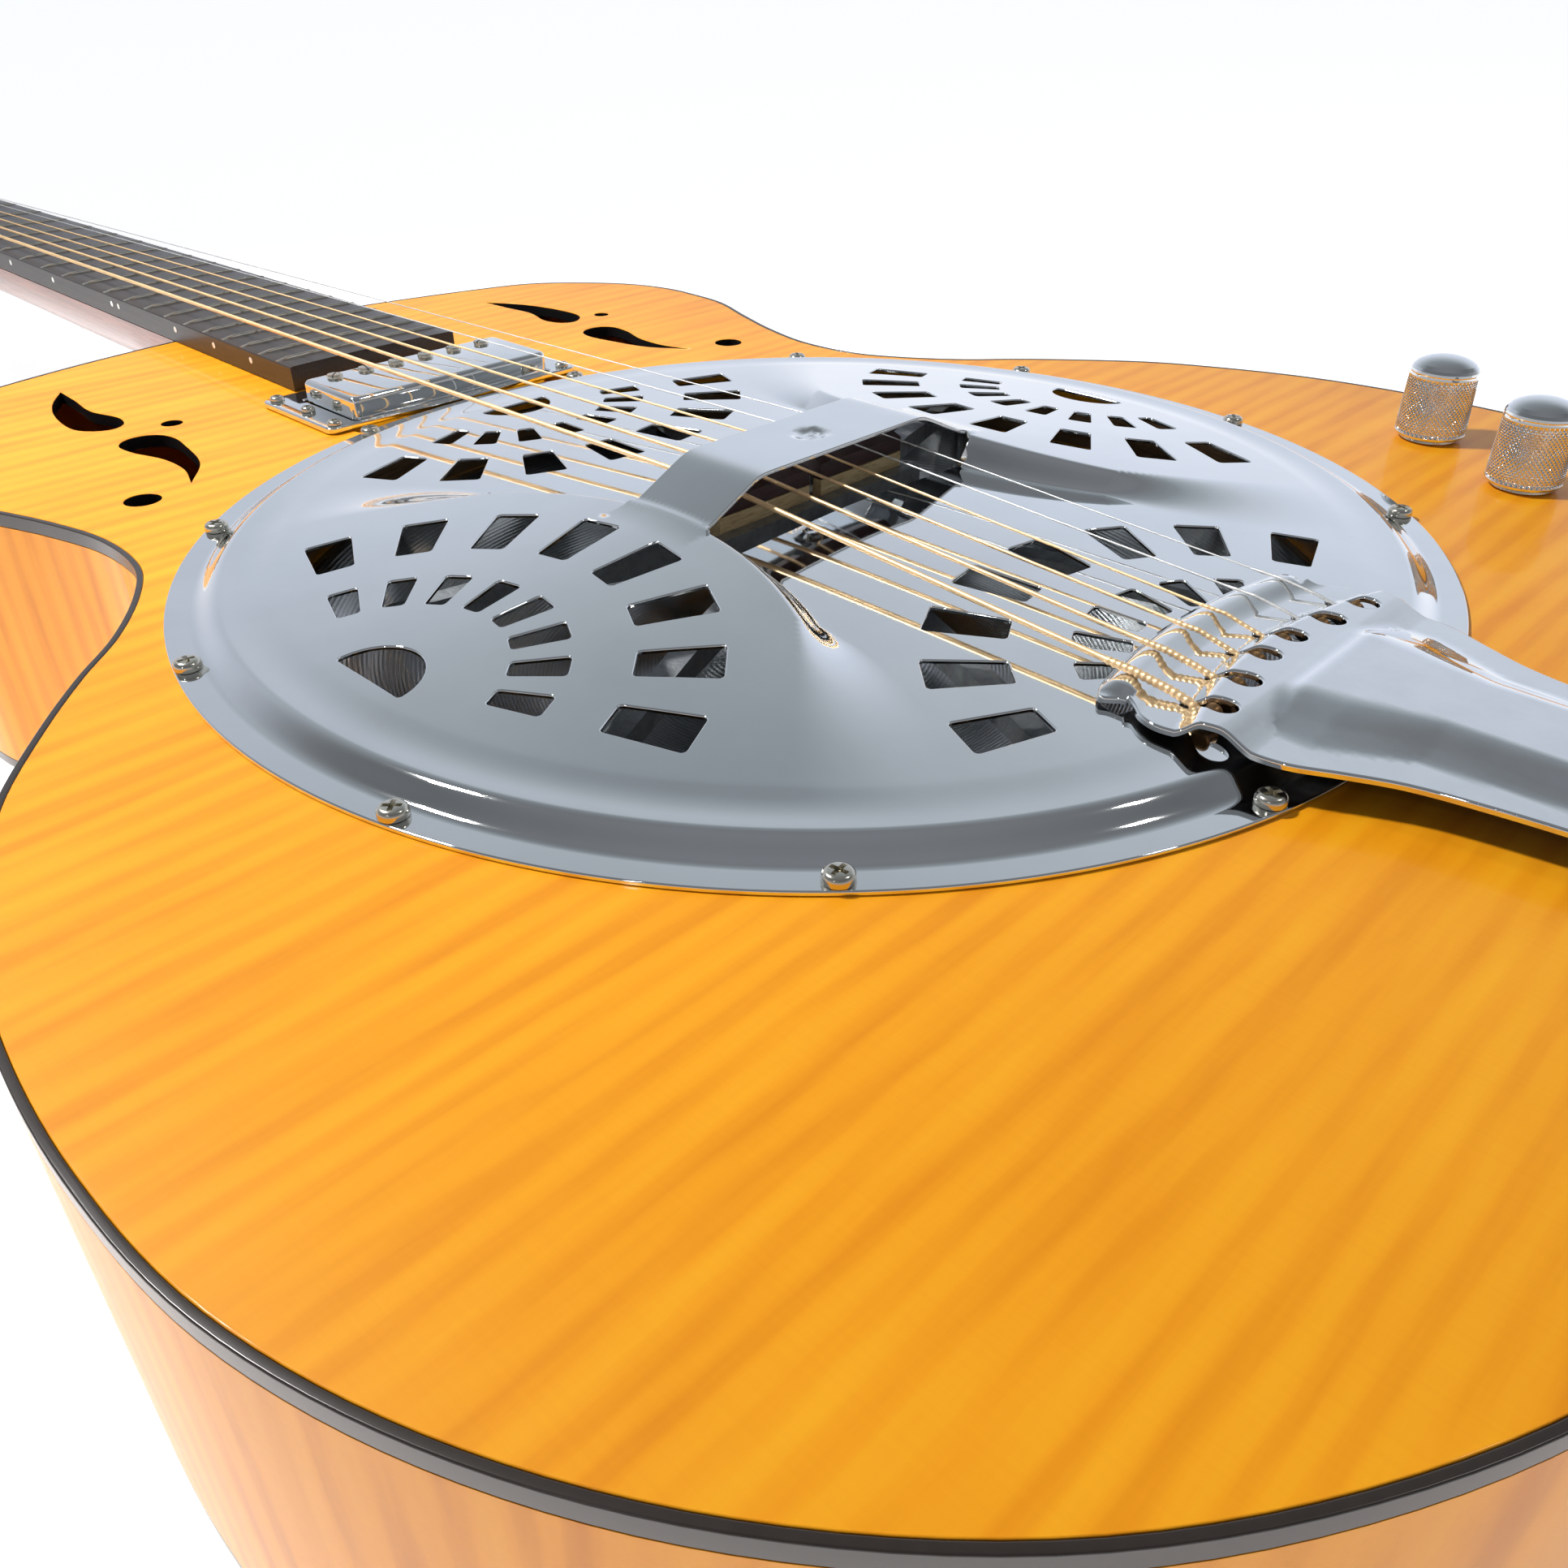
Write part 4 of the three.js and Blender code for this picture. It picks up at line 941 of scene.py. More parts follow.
# ------------------------------------------------------------------ cone and what it drives
base = [(0, -21.3), (9, -21.3), (20.5, -27.3), (32, -33), (41, -35.3), (50, -36.5), (59, -36.3), (68, -35.2), (81, -31.2), (94, -26), (108, -19.0), (121.5, -12.0)]
cp = catmull(base, 9)
prof = []
for r, z in cp:
    z2 = z + (0.010 * math.sin(r * 2.1) if r > 10 else 0)
    prof.append((r, z2))
prof += [(123, -11.9), (128, -11.95), (133.4, -12.0)]
low = [(r if r > 0 else 0, z - 0.55) for r, z in reversed(prof)]
cone_prof = [p for p in prof] + [(133.4, -12.55)] + [p for p in low[1:-1]] + [(0, -21.85)]
piece("cone_spun", lathe_geo(cone_prof, 128), "spun", replaces=["resonator_cone"], angle=50)


def keep(n, mat, bev=0.0, seg=2, ang=30):
    o = frame["nodes"][n]
    me = o.data
    me.materials.clear()
    me.materials.append(M[mat])
    if bev:
        b = o.modifiers.new("edge", "BEVEL")
        b.width = bev / 1000.0
        b.segments = seg
        b.limit_method = "ANGLE"
        b.angle_limit = rad(ang)
        b.harden_normals = False
    return o


keep("spider_bridge", "cast", 0.45, 3, 35)
keep("spider_screw", "nickel", 0.15)
keep("soundwell", "ply", 0.2)
keep("tail_block", "inner", 0.4)
keep("saddle_base_bass", "raw_maple", 0.2)
keep("saddle_base_treble", "raw_maple", 0.2)
keep("saddle_cap_bass", "ebony", 0.12, 2, 40)
keep("saddle_cap_treble", "ebony", 0.12, 2, 40)
keep("volume_pot", "steel", 0.3)
keep("tone_pot", "steel", 0.3)
keep("pickup_core", "black", 0.3)
keep("nut", "bone", 0.18, 2, 40)

# ------------------------------------------------------------------ strings
GA = [0.66, 0.53, 0.42, 0.33, 0.21, 0.165]
YS = [-26, -15.6, -5.2, 5.2, 15.6, 26]
YN = [-17.8, -10.7, -3.6, 3.6, 10.7, 17.8]
YT = [-27.4, -16.3, -5, 5, 16.3, 27.4]
XT = [113.9, 112.4, 110.3, 110.3, 112.4, 113.9]
POSTS = [(42, -24), (84, -26.5), (126, -29), (126, 29), (84, 26.5), (42, 24)]
TN = ["low_e", "a", "d", "g", "b", "high_e"]
SNAMES = ["string_low_e", "string_a", "string_d", "string_g", "string_b", "string_high_e"]
SADZ, NUTZ = 15.6, 9.15


def string_path(i):
    r = GA[i]
    pts = [(XT[i] + 4.0, YT[i], 6.75), (XT[i] + 2.2, YT[i], 6.85), (XT[i] + 0.3, YT[i], 7.15 + r), (XT[i] - 3.0, YT[i], 7.95 + r),
           (103.2, YT[i], 9.02 + r), (100.0, YT[i], 9.12 + r), (98.0, YT[i] + (YS[i] - YT[i]) * 0.02, 9.22 + r), (SADX + 1.6, YS[i], SADZ + r + 0.1), (SADX - 1.4, YS[i], SADZ + r + 0.1),
           (NUTX, YN[i], NUTZ + r), (NUTX - 4.9, YN[i], NUTZ + r + 0.1 - 0.75)]
    pu, pw = POSTS[i]
    side = -1 if pw < 0 else 1
    wr = 3.1 + r
    du, dw = pu, pw - YN[i]
    d = math.hypot(du, dw)
    direction = math.atan2(dw, du) + math.pi + side * math.acos(wr / d)
    turns, seg = 3.2, 28
    for k in range(int(turns * seg) + 1):
        a = direction + side * (k * 2 * math.pi / seg)
        pts.append(head(pu + wr * math.cos(a), pw + wr * math.sin(a), 9.6 - (k / seg) * (2 * r + 0.04)))
    a = direction + side * (int(turns * seg) * 2 * math.pi / seg)
    pts.append(head(pu + 2.2 * math.cos(a + 0.5 * side), pw + 2.2 * math.sin(a + 0.5 * side), 9.6 - turns * (2 * r + 0.04)))
    return pts


def walk(pts, step_at):
    """Points along a polyline at steps given by step_at(point)."""
    p = [np.array(q, float) for q in pts]
    out = [p[0]]
    i, pos = 0, p[0]
    while i < len(p) - 1:
        st = step_at(pos)
        seg = p[i + 1] - pos
        L = np.linalg.norm(seg)
        if L > st:
            pos = pos + seg / L * st
            out.append(pos)
        else:
            i += 1
            pos = p[i]
            if np.linalg.norm(pos - out[-1]) > st * 0.35:
                out.append(pos)
    return out


for i, n in enumerate(SNAMES):
    r = GA[i]
    path = string_path(i)
    if i < 4:
        pitch = (0.62, 0.56, 0.50, 0.46)[i]
        pp = walk(path, lambda q: pitch / 2)
        radii = [r * (1.0 if k % 2 else 0.84) for k in range(len(pp))]
    else:
        pp = walk(path, lambda q: 0.5 if 96 < q[0] < 118 else (12.0 if q[0] > NUTX + 5 else 1.4))
        radii = [r] * len(pp)
    # the thicker twisted end by the tailpiece
    rr = []
    for q, v in zip(pp, radii):
        t = smooth01((q[0] - 96.5) / 2.5)
        tw = 1 + 0.13 * math.sin(q[0] * (5.2 if i < 4 else 7.5))
        rr.append(v * (1 - t) + (max(r * 1.22, 0.34) * tw) * t)
    geo = tube_geo([tuple(q) for q in pp], r, 8, rr)
    piece(n + "_wire", geo, "bronze" if i < 4 else "plain_string", replaces=[n], angle=70)

# ------------------------------------------------------------------ pickup
def shell_cap(x0, x1, y, r, z0, z1, bev, th):
    rings = []

    def ringat(ins, z):
        return [(p[0], p[1], z) for p in rrect(x0 + ins, x1 - ins, -y + ins, y - ins, max(r - ins * 0.8, 0.3), 6)]

    rings.append(ringat(th, z1 - th))
    rings.append(ringat(th, z0))
    rings.append(ringat(0, z0))
    rings.append(ringat(0, z1 - bev))
    for k in range(1, 7):
        a = rad(90 * k / 6)
        rings.append(ringat(bev * (1 - math.cos(a)), z1 - bev + bev * math.sin(a)))
    return loft_geo(rings)


ringh = [ring_pts(1.25, 16, x, y) for x, y in ((-180.2, -40.2), (-146.9, -40.2), (-180.2, 40.2), (-146.9, 40.2), (-163.5, -39.3), (-163.5, 39.3))]
piece("pickup_frame", curve_slab(rrect(-183.5, -143.6, -43.8, 43.8, 2.6, 6), [rrect(-175.2, -145.2, -34.9, 34.9, 1.2)] + ringh, 0.25, 2.0, 0.45, 4), "chrome_parts", replaces=["pickup_ring"])
cap = shell_cap(-174.6, -145.8, 34.3, 2.4, -12, 8.0, 1.5, 0.6)
piece("pickup_can", cap, "chrome_parts", replaces=["pickup_cover"], angle=40)
small = cross_screw(2.1, 1.3, 1.05, 3.0, n=28)
tall = cross_screw(2.0, 1.5, 1.1, 6.0, n=28)
gs = [moved(small, (x, y, 2.02), 25 * j) for j, (x, y) in enumerate(((-180.2, -40.2), (-146.9, -40.2), (-180.2, 40.2), (-146.9, 40.2)))]
gs += [moved(tall, (-163.5, y, 2.05), 40) for y in (-39.3, 39.3)]
piece("pickup_screws", merge_geo(gs), "nickel")
ps = []
for y in YS:
    prof = [(0, 7.2), (2.35, 7.2), (2.35, 8.55), (2.2, 8.85), (1.6, 9.0), (0, 9.02)]
    g = lathe_geo(prof, 28)
    sl = (np.array([(a, b, c) for c in (8.5, 9.6) for a, b in ((-3, -0.28), (3, -0.28), (3, 0.28), (-3, 0.28))]),
          [(3, 2, 1, 0), (4, 5, 6, 7), (0, 1, 5, 4), (1, 2, 6, 5), (2, 3, 7, 6), (3, 0, 4, 7)])
    ps.append(moved(boolean(g, sl), (-169.5, y, 0), 35 + y * 3))
piece("pickup_pole_screws", merge_geo(ps), "nickel")

# ------------------------------------------------------------------ tailpiece
TH = [(95.8, 0), (96.3, 9), (97.3, 18), (98.5, 26), (99.2, 30.5), (100.2, 33.6), (101.5, 34.9), (103.2, 34.1), (105.2, 33.4), (107.3, 33.9), (110.0, 35.9), (113.5, 37.0), (117.7, 36.3),
      (121.2, 34.9), (125.0, 34.3), (129.4, 34.4), (135.3, 33.5), (142.8, 30), (151.4, 26.4), (165, 23.6), (180, 21.6), (200, 19.0), (216, 17.0), (228, 15.8)]
th = catmull(TH, 5)
TOUT = th + [(231.4, 15.7)] + [(231.4, -15.7)] + [(x, -y) for x, y in reversed(th)][:-1]


def tail_z(x, y):
    x, y = np.asarray(x, float), np.asarray(y, float)
    ay = np.abs(y)
    z = np.full(x.shape, 7.1)
    # rolled front edge
    fx = 95.8 + 0.0037 * y * y
    s = x - fx
    hump = np.where(s < 4.2, 6.2 + 2.65 * np.sqrt(np.clip(1 - ((4.2 - s) / 4.4) ** 2, 0, 1)), 7.1 + 1.75 * (1 - smooth01((s - 4.2) / 5.2)))
    z = np.where(s < 9.4, np.where(s < 4.2, hump, np.maximum(hump, 7.1)), z)
    # the rolled edge flattens out towards its two ends
    z = np.where(x < 106, z - (z - 7.1) * smooth01((ay - 30.5) / 3.5), z)
    # arm
    t = np.clip((x - 119) / 9, 0, 1)
    plate = np.interp(x, [119, 128, 150, 231], [13, 12, 8, 7.6])
    foot = np.interp(x, [119, 128, 135, 150, 200, 231], [18, 27, 27.5, 19.5, 14.5, 12.5])
    up = smooth01((foot - ay) / np.maximum(foot - plate, 0.1)) * smooth01(t)
    arm = 3.25 * up
    # the step that makes room for the strings' ball ends
    x0 = 110.0 + 0.0051 * y * y
    step = 2.45 * smooth01((x - x0) / 4.4) * (1 - smooth01((x - 123.0) / 7.0))
    k = 0.5
    m = np.maximum(arm, step)
    d = np.abs(arm - step)
    z = z + np.where(d < 3 * k, m + (3 * k - d) ** 2 / (12 * k) * np.minimum(1, m / 1.0), m)
    # bend at the tail
    b = np.clip(x - 227.5, 0, 3.9)
    z = z - np.where(x > 227.5, 3.6 - np.sqrt(np.clip(3.9 ** 2 - b ** 2, 0, None)) * 3.6 / 3.9, 0)
    return z


def keyhole(x, y, r):
    """Teardrop: round for the ball end, narrow where the string leaves it."""
    w = max(0.7, r * 1.22 + 0.12)
    half = [(-0.7, w * 0.75), (1.0, w), (2.6, 1.25), (4.2, 1.95), (5.6, 2.4), (7.2, 2.3), (8.5, 1.35)]
    pts = half + [(8.95, 0.0)] + [(a, -b) for a, b in reversed(half)] + [(-1.1, 0.0)]
    return catmull([(x + a, y + b) for a, b in pts], 4, True)


tholes = [keyhole(XT[i], YT[i], GA[i]) for i in range(6)]
tg = []
for x in list(np.arange(96, 107, 0.65)) + list(np.arange(107.4, 227, 1.5)) + list(np.arange(227.6, 231.3, 0.6)):
    for j, y in enumerate(np.arange(-36.5, 36.6, 1.3)):
        tg.append((x + (0.3 if j % 2 else 0), y))
        if 107.5 < x < 131:
            tg.append((x + 0.75, y + 0.4))
tp = sheet_geo(tail_z, densify(TOUT, 1.4), tholes, tg, 1.2, 0.5)
o = piece("tailpiece_plate", (tp[0], tp[1]), "chrome_parts", replaces=["tailpiece"])
o.data.set_sharp_from_angle(angle=rad(180))
set_normals(o, tp[2])
# Painted shade: the tailpiece's down-facing faces get near-black metal, standing in for the shade between it and the
# cover plate.
o.data.materials.append(M["inside"])
_n = len(tp[0])
for pl in o.data.polygons:
    if pl.normal.z < -0.55:
        pl.material_index = 1
balls = []
for i in range(6):
    balls.append(lathe_geo([(0, -1.7), (1.5, -1.7), (1.8, -1.4), (1.45, -0.7), (1.45, 0.7), (1.8, 1.4), (1.5, 1.7), (0, 1.7)], 28, axis=(0, 1, 0), at=(XT[i] + 4.4, YT[i], 6.75)))
piece("string_ball_ends", merge_geo(balls), "ball")
# leg down the tail end, with a hole for the end pin
leg = curve_slab(rrect(-48, 4.4, -15.4, 15.4, 3.0, 6), [ring_pts(3.4, 32, -40, 0)], 229.7, 231.4, 0.45, 3)
lv = leg[0]
piece("tailpiece_leg", (np.column_stack([lv[:, 2], lv[:, 1], lv[:, 0]]), leg[1]), "chrome_parts", replaces=["tailpiece"])

# ------------------------------------------------------------------ neck, fingerboard
BEND, NH, EH = -190.5, 22.25, 29.3


def board_half(x):
    return NH + (EH - NH) * (x - NUTX) / (BEND - NUTX)


def neck_sec(x, w, d, flat, n=28):
    out = []
    for k in range(n + 1):
        a = math.pi * k / n
        cx, sx = math.cos(a), math.sin(a)
        out.append((x, w * math.copysign(abs(cx) ** flat, cx), -d * max(sx, 0) ** flat))
    return out


secs = [(NUTX - 12, 21.6, 15, 0.9), (NUTX + 14, board_half(NUTX + 14), 19.5, 0.9), (-500, board_half(-500), 20.6, 0.9), (-330, board_half(-330), 22, 0.9), (-306, board_half(-306), 25, 0.8),
        (-296, board_half(-296), 45, 0.6), (-286, board_half(-286), 72, 0.45), (-278.3, board_half(-278.3), 74, 0.4)]
rings = []
for (a, b) in zip(secs, secs[1:]):
    k = 10 if b[0] > -310 else 6
    for j in range(k):
        t = j / k
        ts = t * t * (3 - 2 * t)
        rings.append(neck_sec(a[0] + (b[0] - a[0]) * t, a[1] + (b[1] - a[1]) * t, a[2] + (b[2] - a[2]) * ts, a[3] + (b[3] - a[3]) * ts))
rings.append(neck_sec(*secs[-1]))
piece("neck_shaft", loft_geo(rings), "mahogany", replaces=["neck"], angle=40)
HS = [(-9, 21.6), (6, 21.8), (18, 27), (30, 32.5), (60, 34.5), (110, 37.6), (150, 40), (170, 38.5), (181, 30), (184, 18), (181, 8), (183, 0)]
hsm = catmull(HS[:6], 6)[:-1] + catmull(HS[5:], 6)
hl = [(-u, w) for u, w in hsm] + [(-u, -w) for u, w in reversed(hsm[:-1])]
ph = [ring_pts(3.3, 24, -u, w) for u, w in POSTS]
piece("headstock_wood", on_head(curve_slab(hl, ph, -15.0, -1.25, 0.9, 4)), "mahogany", replaces=["neck"])
piece("headstock_face", on_head(curve_slab([p for p in hl if p[0] < 1.2], ph, -1.2, 0.0, 0.3, 3)), "black", replaces=["neck"])
bus = [on_head(lathe_geo([(3.05, -1.0), (3.28, -1.0), (3.28, 0.05), (5.6, 0.05), (5.6, 0.55), (5.0, 1.0), (3.5, 1.25), (3.05, 1.2), (3.05, -1.0)], 36), u, w, 0.0) for u, w in POSTS]
piece("post_bushings", merge_geo(bus), "nickel_tuner")
trc = round_poly([(0, -9.5), (9, -11), (30, -4), (33, 0), (30, 4), (9, 11), (0, 9.5)], [1, 3, 2, 2, 2, 3, 1], 5)
tsh = [ring_pts(1.0, 14, -14.5, 0), ring_pts(1.0, 14, -40.5, 0)]
piece("rod_cover", on_head(curve_slab([(-u - 11, w) for u, w in trc], tsh, 0.25, 2.2, 0.5, 4)), "black", replaces=["truss_rod_cover"])
tiny = cross_screw(1.7, 0.9, 0.8, 2.4, n=24)
piece("rod_cover_screws", merge_geo([on_head(moved(tiny, (-14.5, 0, 2.22))), on_head(moved(tiny, (-40.5, 0, 2.22), 30))]), "nickel")

FR = [SADX - SCALE / 2 ** (k / 12) for k in range(1, 21)]
FR = [x for x in FR if x < BEND - 2]
# board with a crowned face, and slots standing for nothing: frets sit on it
brings = []
for x in [NUTX + 0.3] + list(np.linspace(NUTX + 14, BEND - 6, 24)) + [BEND]:
    h = board_half(x)
    sec = [(x, -h, 0.3), (x, -h, 7.1), (x, -h + 0.25, 7.45)]
    for k in range(0, 13):
        y = -h + 0.7 + (2 * h - 1.4) * k / 12
        sec.append((x, y, 7.62 + 0.38 * (1 - (y / h) ** 2)))
    sec += [(x, h - 0.25, 7.45), (x, h, 7.1), (x, h, 0.3)]
    brings.append(sec)
piece("board", loft_geo(brings), "rosewood", replaces=["fingerboard"], angle=25)
fg = []
for x in FR:
    h = board_half(x) - 0.35
    rr_ = []
    for k in range(0, 17):
        y = -h + 2 * h * k / 16
        e = min(1, (h - abs(y)) / 0.9 + 0.25)
        z0 = 7.62 + 0.38 * (1 - (y / board_half(x)) ** 2) - 0.12
        rr_.append([(x + 0.95 * math.cos(rad(a)), y, z0 + (0.88 * e) * math.sin(rad(a)) + (0.0 if 0 < a < 180 else 0.0)) for a in (0, 22, 45, 68, 90, 112, 135, 158, 180)])
    fg.append(loft_geo(rr_))
piece("frets", merge_geo(fg), "fret", replaces=["fingerboard"])
dots = []
for k in (3, 5, 7, 9, 12, 15, 17, 19):
    if k > len(FR):
        continue
    a = NUTX if k == 1 else FR[k - 2]
    x = (a + FR[k - 1]) / 2
    for dx in ((-3, 3) if k == 12 else (0,)):
        dots.append(lathe_geo([(0, -0.4), (1.0, -0.4), (1.0, 0.05), (0, 0.09)], 20, axis=(0, -1, 0), at=(x + dx, -board_half(x), 4.6)))
piece("board_side_dots", merge_geo(dots), "white_dot")

# ------------------------------------------------------------------ knobs, strap button, jack
def knob_geo():
    """Straight knurled barrel, slightly tapered, with a smooth domed top."""
    n, rows = 288, 96
    V, F, rowsI = [], [], []
    prof = [(3.6, 1.2), (8.2, 1.2), (8.75, 1.45), (9.0, 1.9)]
    z0, z1 = 2.1, 17.3
    for k in range(rows + 1):
        prof.append((9.02 - 0.40 * k / rows, z0 + (z1 - z0) * k / rows))
    prof += [(8.55, 17.6), (8.5, 17.95), (8.62, 18.3), (8.5, 18.9), (8.1, 19.6), (7.3, 20.4), (6.0, 21.15), (4.2, 21.8), (2.2, 22.18), (0, 22.3)]
    prof = [(0, 10.0), (3.6, 10.0)] + prof

    def wave(k, a, h):
        if h < z0 - 0.01 or h > z1 + 0.01:
            return 0.0
        e = min(1, (h - z0) / 0.7, (z1 - h) / 0.7)
        u = a * 48
        v = h * 2 * math.pi / 1.25
        c1 = abs(math.sin((u + v) / 2))
        c2 = abs(math.sin((u - v) / 2))
        return -0.46 * e * (1 - min(c1, c2)) ** 0.9
    return lathe_geo(prof, n, wave=wave)


kg = knob_geo()
for (x, y), n in zip(KNOBS, ("volume", "tone")):
    piece(n + "_knob_barrel", moved(kg, (x, y, 0)), "chrome_parts", n + "_knob", replaces=[n + "_knob"], angle=14)
    piece(n + "_washer", lathe_geo([(4.3, 0.12), (7.2, 0.12), (7.3, 0.3), (7.2, 0.8), (4.3, 0.85), (4.3, 0.12)], 40, at=(x, y, 0)), "nickel")
sb = catmull([(6.8, 4.3), (7.0, 4.9), (6.9, 6.0), (5.4, 7.2), (4.7, 8.8), (4.7, 10.4), (5.6, 12.0), (7.1, 13.2), (7.2, 14.2), (6.4, 15.2), (4, 15.65), (0, 15.8)], 5)
piece("strap_pin", lathe_geo([(0, -14), (1.4, -13.2), (2.1, -11), (2.1, 4.3)] + sb[:-1] + [(0, 15.8)], 48, axis=(1, 0, 0), at=(227.9, 0, -40)), "chrome_parts", replaces=["strap_button"])
JY = float(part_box("output_jack")[0][1] * 1000 + 17.0)
nut6 = curve_slab(round_poly([(7.1 * math.cos(rad(60 * k)), 7.1 * math.sin(rad(60 * k))) for k in range(6)], 0.5, 3), [ring_pts(4.7, 36)], 1.7, 3.6, 0.25, 2)
jk = merge_geo([lathe_geo([(3.2, -15), (3.2, 4.2), (3.5, 4.5), (4.6, 4.5), (4.6, -15), (3.2, -15)], 40),
                lathe_geo([(4.65, 0.2), (9.4, 0.2), (9.6, 0.45), (9.5, 1.3), (9.1, 1.6), (4.65, 1.62), (4.65, 0.2)], 48), nut6])
jv = jk[0]
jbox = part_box("output_jack")
JX = (jbox[0][0] + jbox[1][0]) * 500 - SX
JZ = (jbox[0][2] + jbox[1][2]) * 500 - D
jlen = jv[:, 2].max()
jout = jbox[1][1] * 1000
jv2 = np.column_stack([jv[:, 0] + JX, jv[:, 2] + (jout - jlen), jv[:, 1] + JZ])
piece("jack_socket", (jv2, jk[1]), "nickel", replaces=["output_jack"])

# ------------------------------------------------------------------ tuners
GC, WN, TEETH, LEAD = 8.5, -5.4, 14, 2.468
HT, PR, PT = 15.0, 3.0, 13.2


def gear_geo():
    out = []
    for k in range(TEETH):
        for r, a in ((4.6, -0.62), (5.3, -0.50), (5.85, -0.34), (6.0, -0.15), (6.0, 0.15), (5.85, 0.34), (5.3, 0.50), (4.6, 0.62)):
            b = 2 * math.pi * k / TEETH + a / r
            out.append((r * math.cos(b), r * math.sin(b)))
    return curve_slab(out, [], WN - 1.5, WN + 1.5, 0.12, 2)


def worm_geo():
    S, turns, r0, r1 = 32, 1.75, 2.1, 3.4
    N = int(S * turns)
    V, F = [], []
    for k in range(N + 1):
        f0 = k / S - turns / 2
        a = 2 * math.pi * f0 + math.pi
        y = f0 * LEAD
        f = min(1, 0.15 + min(k, N - k) / 5)
        for r, o_ in ((r0, 0.5), (r0 + (r1 - r0) * f, 0.26), (r0 + (r1 - r0) * f, -0.26), (r0, -0.5)):
            V.append((r * math.cos(a), y + o_, -r * math.sin(a)))
    for k in range(N):
        for i in range(4):
            j = (i + 1) % 4
            F.append((k * 4 + i, k * 4 + j, k * 4 + j + 4, k * 4 + i + 4))
    F += [(3, 2, 1, 0), (N * 4, N * 4 + 1, N * 4 + 2, N * 4 + 3)]
    return np.array(V), F


gear, wormg = gear_geo(), worm_geo()
for i, n in enumerate(TN):
    u, w = POSTS[i]
    side = -1 if w < 0 else 1
    flip = 180 if side < 0 else 0
    reach = 43.5 - abs(w)
    post = lathe_geo([(0, WN - 2.6), (1.9, WN - 2.6), (2.2, WN - 2.3), (2.6, WN - 1.4), (2.6, -0.2), (PR, 0.6), (PR, HT + 7.6), (PR - 0.25, HT + 8.2), (PR - 0.25, HT + 9.8), (PR, HT + 10.6), (PR, HT + PT - 0.7),
                      (2.6, HT + PT - 0.2), (2.2, HT + PT), (0, HT + PT)], 36)
    hole = lathe_geo([(0, -6), (0.9, -6), (0.9, 6), (0, 6)], 16, axis=(1, 0, 0), at=(0, 0, HT + 9.0))
    post = boolean(post, hole)
    scr_cut = (np.array([(a, b, c) for c in (WN - 2.2, WN - 3.4) for a, b in ((-3, -0.25), (3, -0.25), (3, 0.25), (-3, 0.25))]),
               [(0, 1, 2, 3), (7, 6, 5, 4), (4, 5, 1, 0), (5, 6, 2, 1), (6, 7, 3, 2), (7, 4, 0, 3)])
    piece("tuner_post_%s_turned" % n, on_head(merge_geo([post, gear]), u, w, -HT, flip), "nickel_tuner", "post_" + n, replaces=["tuner_post_" + n])
    sp = lathe_geo([(0, -7.2), (1.3, -7.2), (1.6, -6.9), (1.6, -3.9), (2.15, -3.9), (2.15, 3.9), (1.6, 3.9), (1.6, reach - 3.6), (2.4, reach - 3.3), (3.2, reach - 2.4), (3.4, reach - 1.2), (3.4, reach), (0, reach)], 32, axis=(0, 1, 0))
    br = []
    for z, sc in ((-3.0, 0.80), (-2.85, 0.90), (-2.4, 0.97), (-1.6, 1.0), (0.0, 1.0), (1.6, 1.0), (2.4, 0.97), (2.85, 0.90), (3.0, 0.80)):
        rg = []
        for k in range(44):
            a = 2 * math.pi * k / 44
            ca, sa = math.cos(a), math.sin(a)
            rg.append((7.2 * sc * math.copysign(abs(ca) ** 0.8, ca), reach - 1 + 8.5 + 9.2 * sc * math.copysign(abs(sa) ** 0.8, sa), z * (1 - 0.0 * sa)))
        br.append(rg)
    btn = loft_geo(br)
    g = merge_geo([sp, wormg, btn])
    g = (g[0] + np.array([-GC, 0, WN]), g[1])
    piece("tuner_button_%s_cast" % n, on_head(g, u, w, -HT, flip), "nickel_tuner", "button_" + n, replaces=["tuner_button_" + n], angle=40)
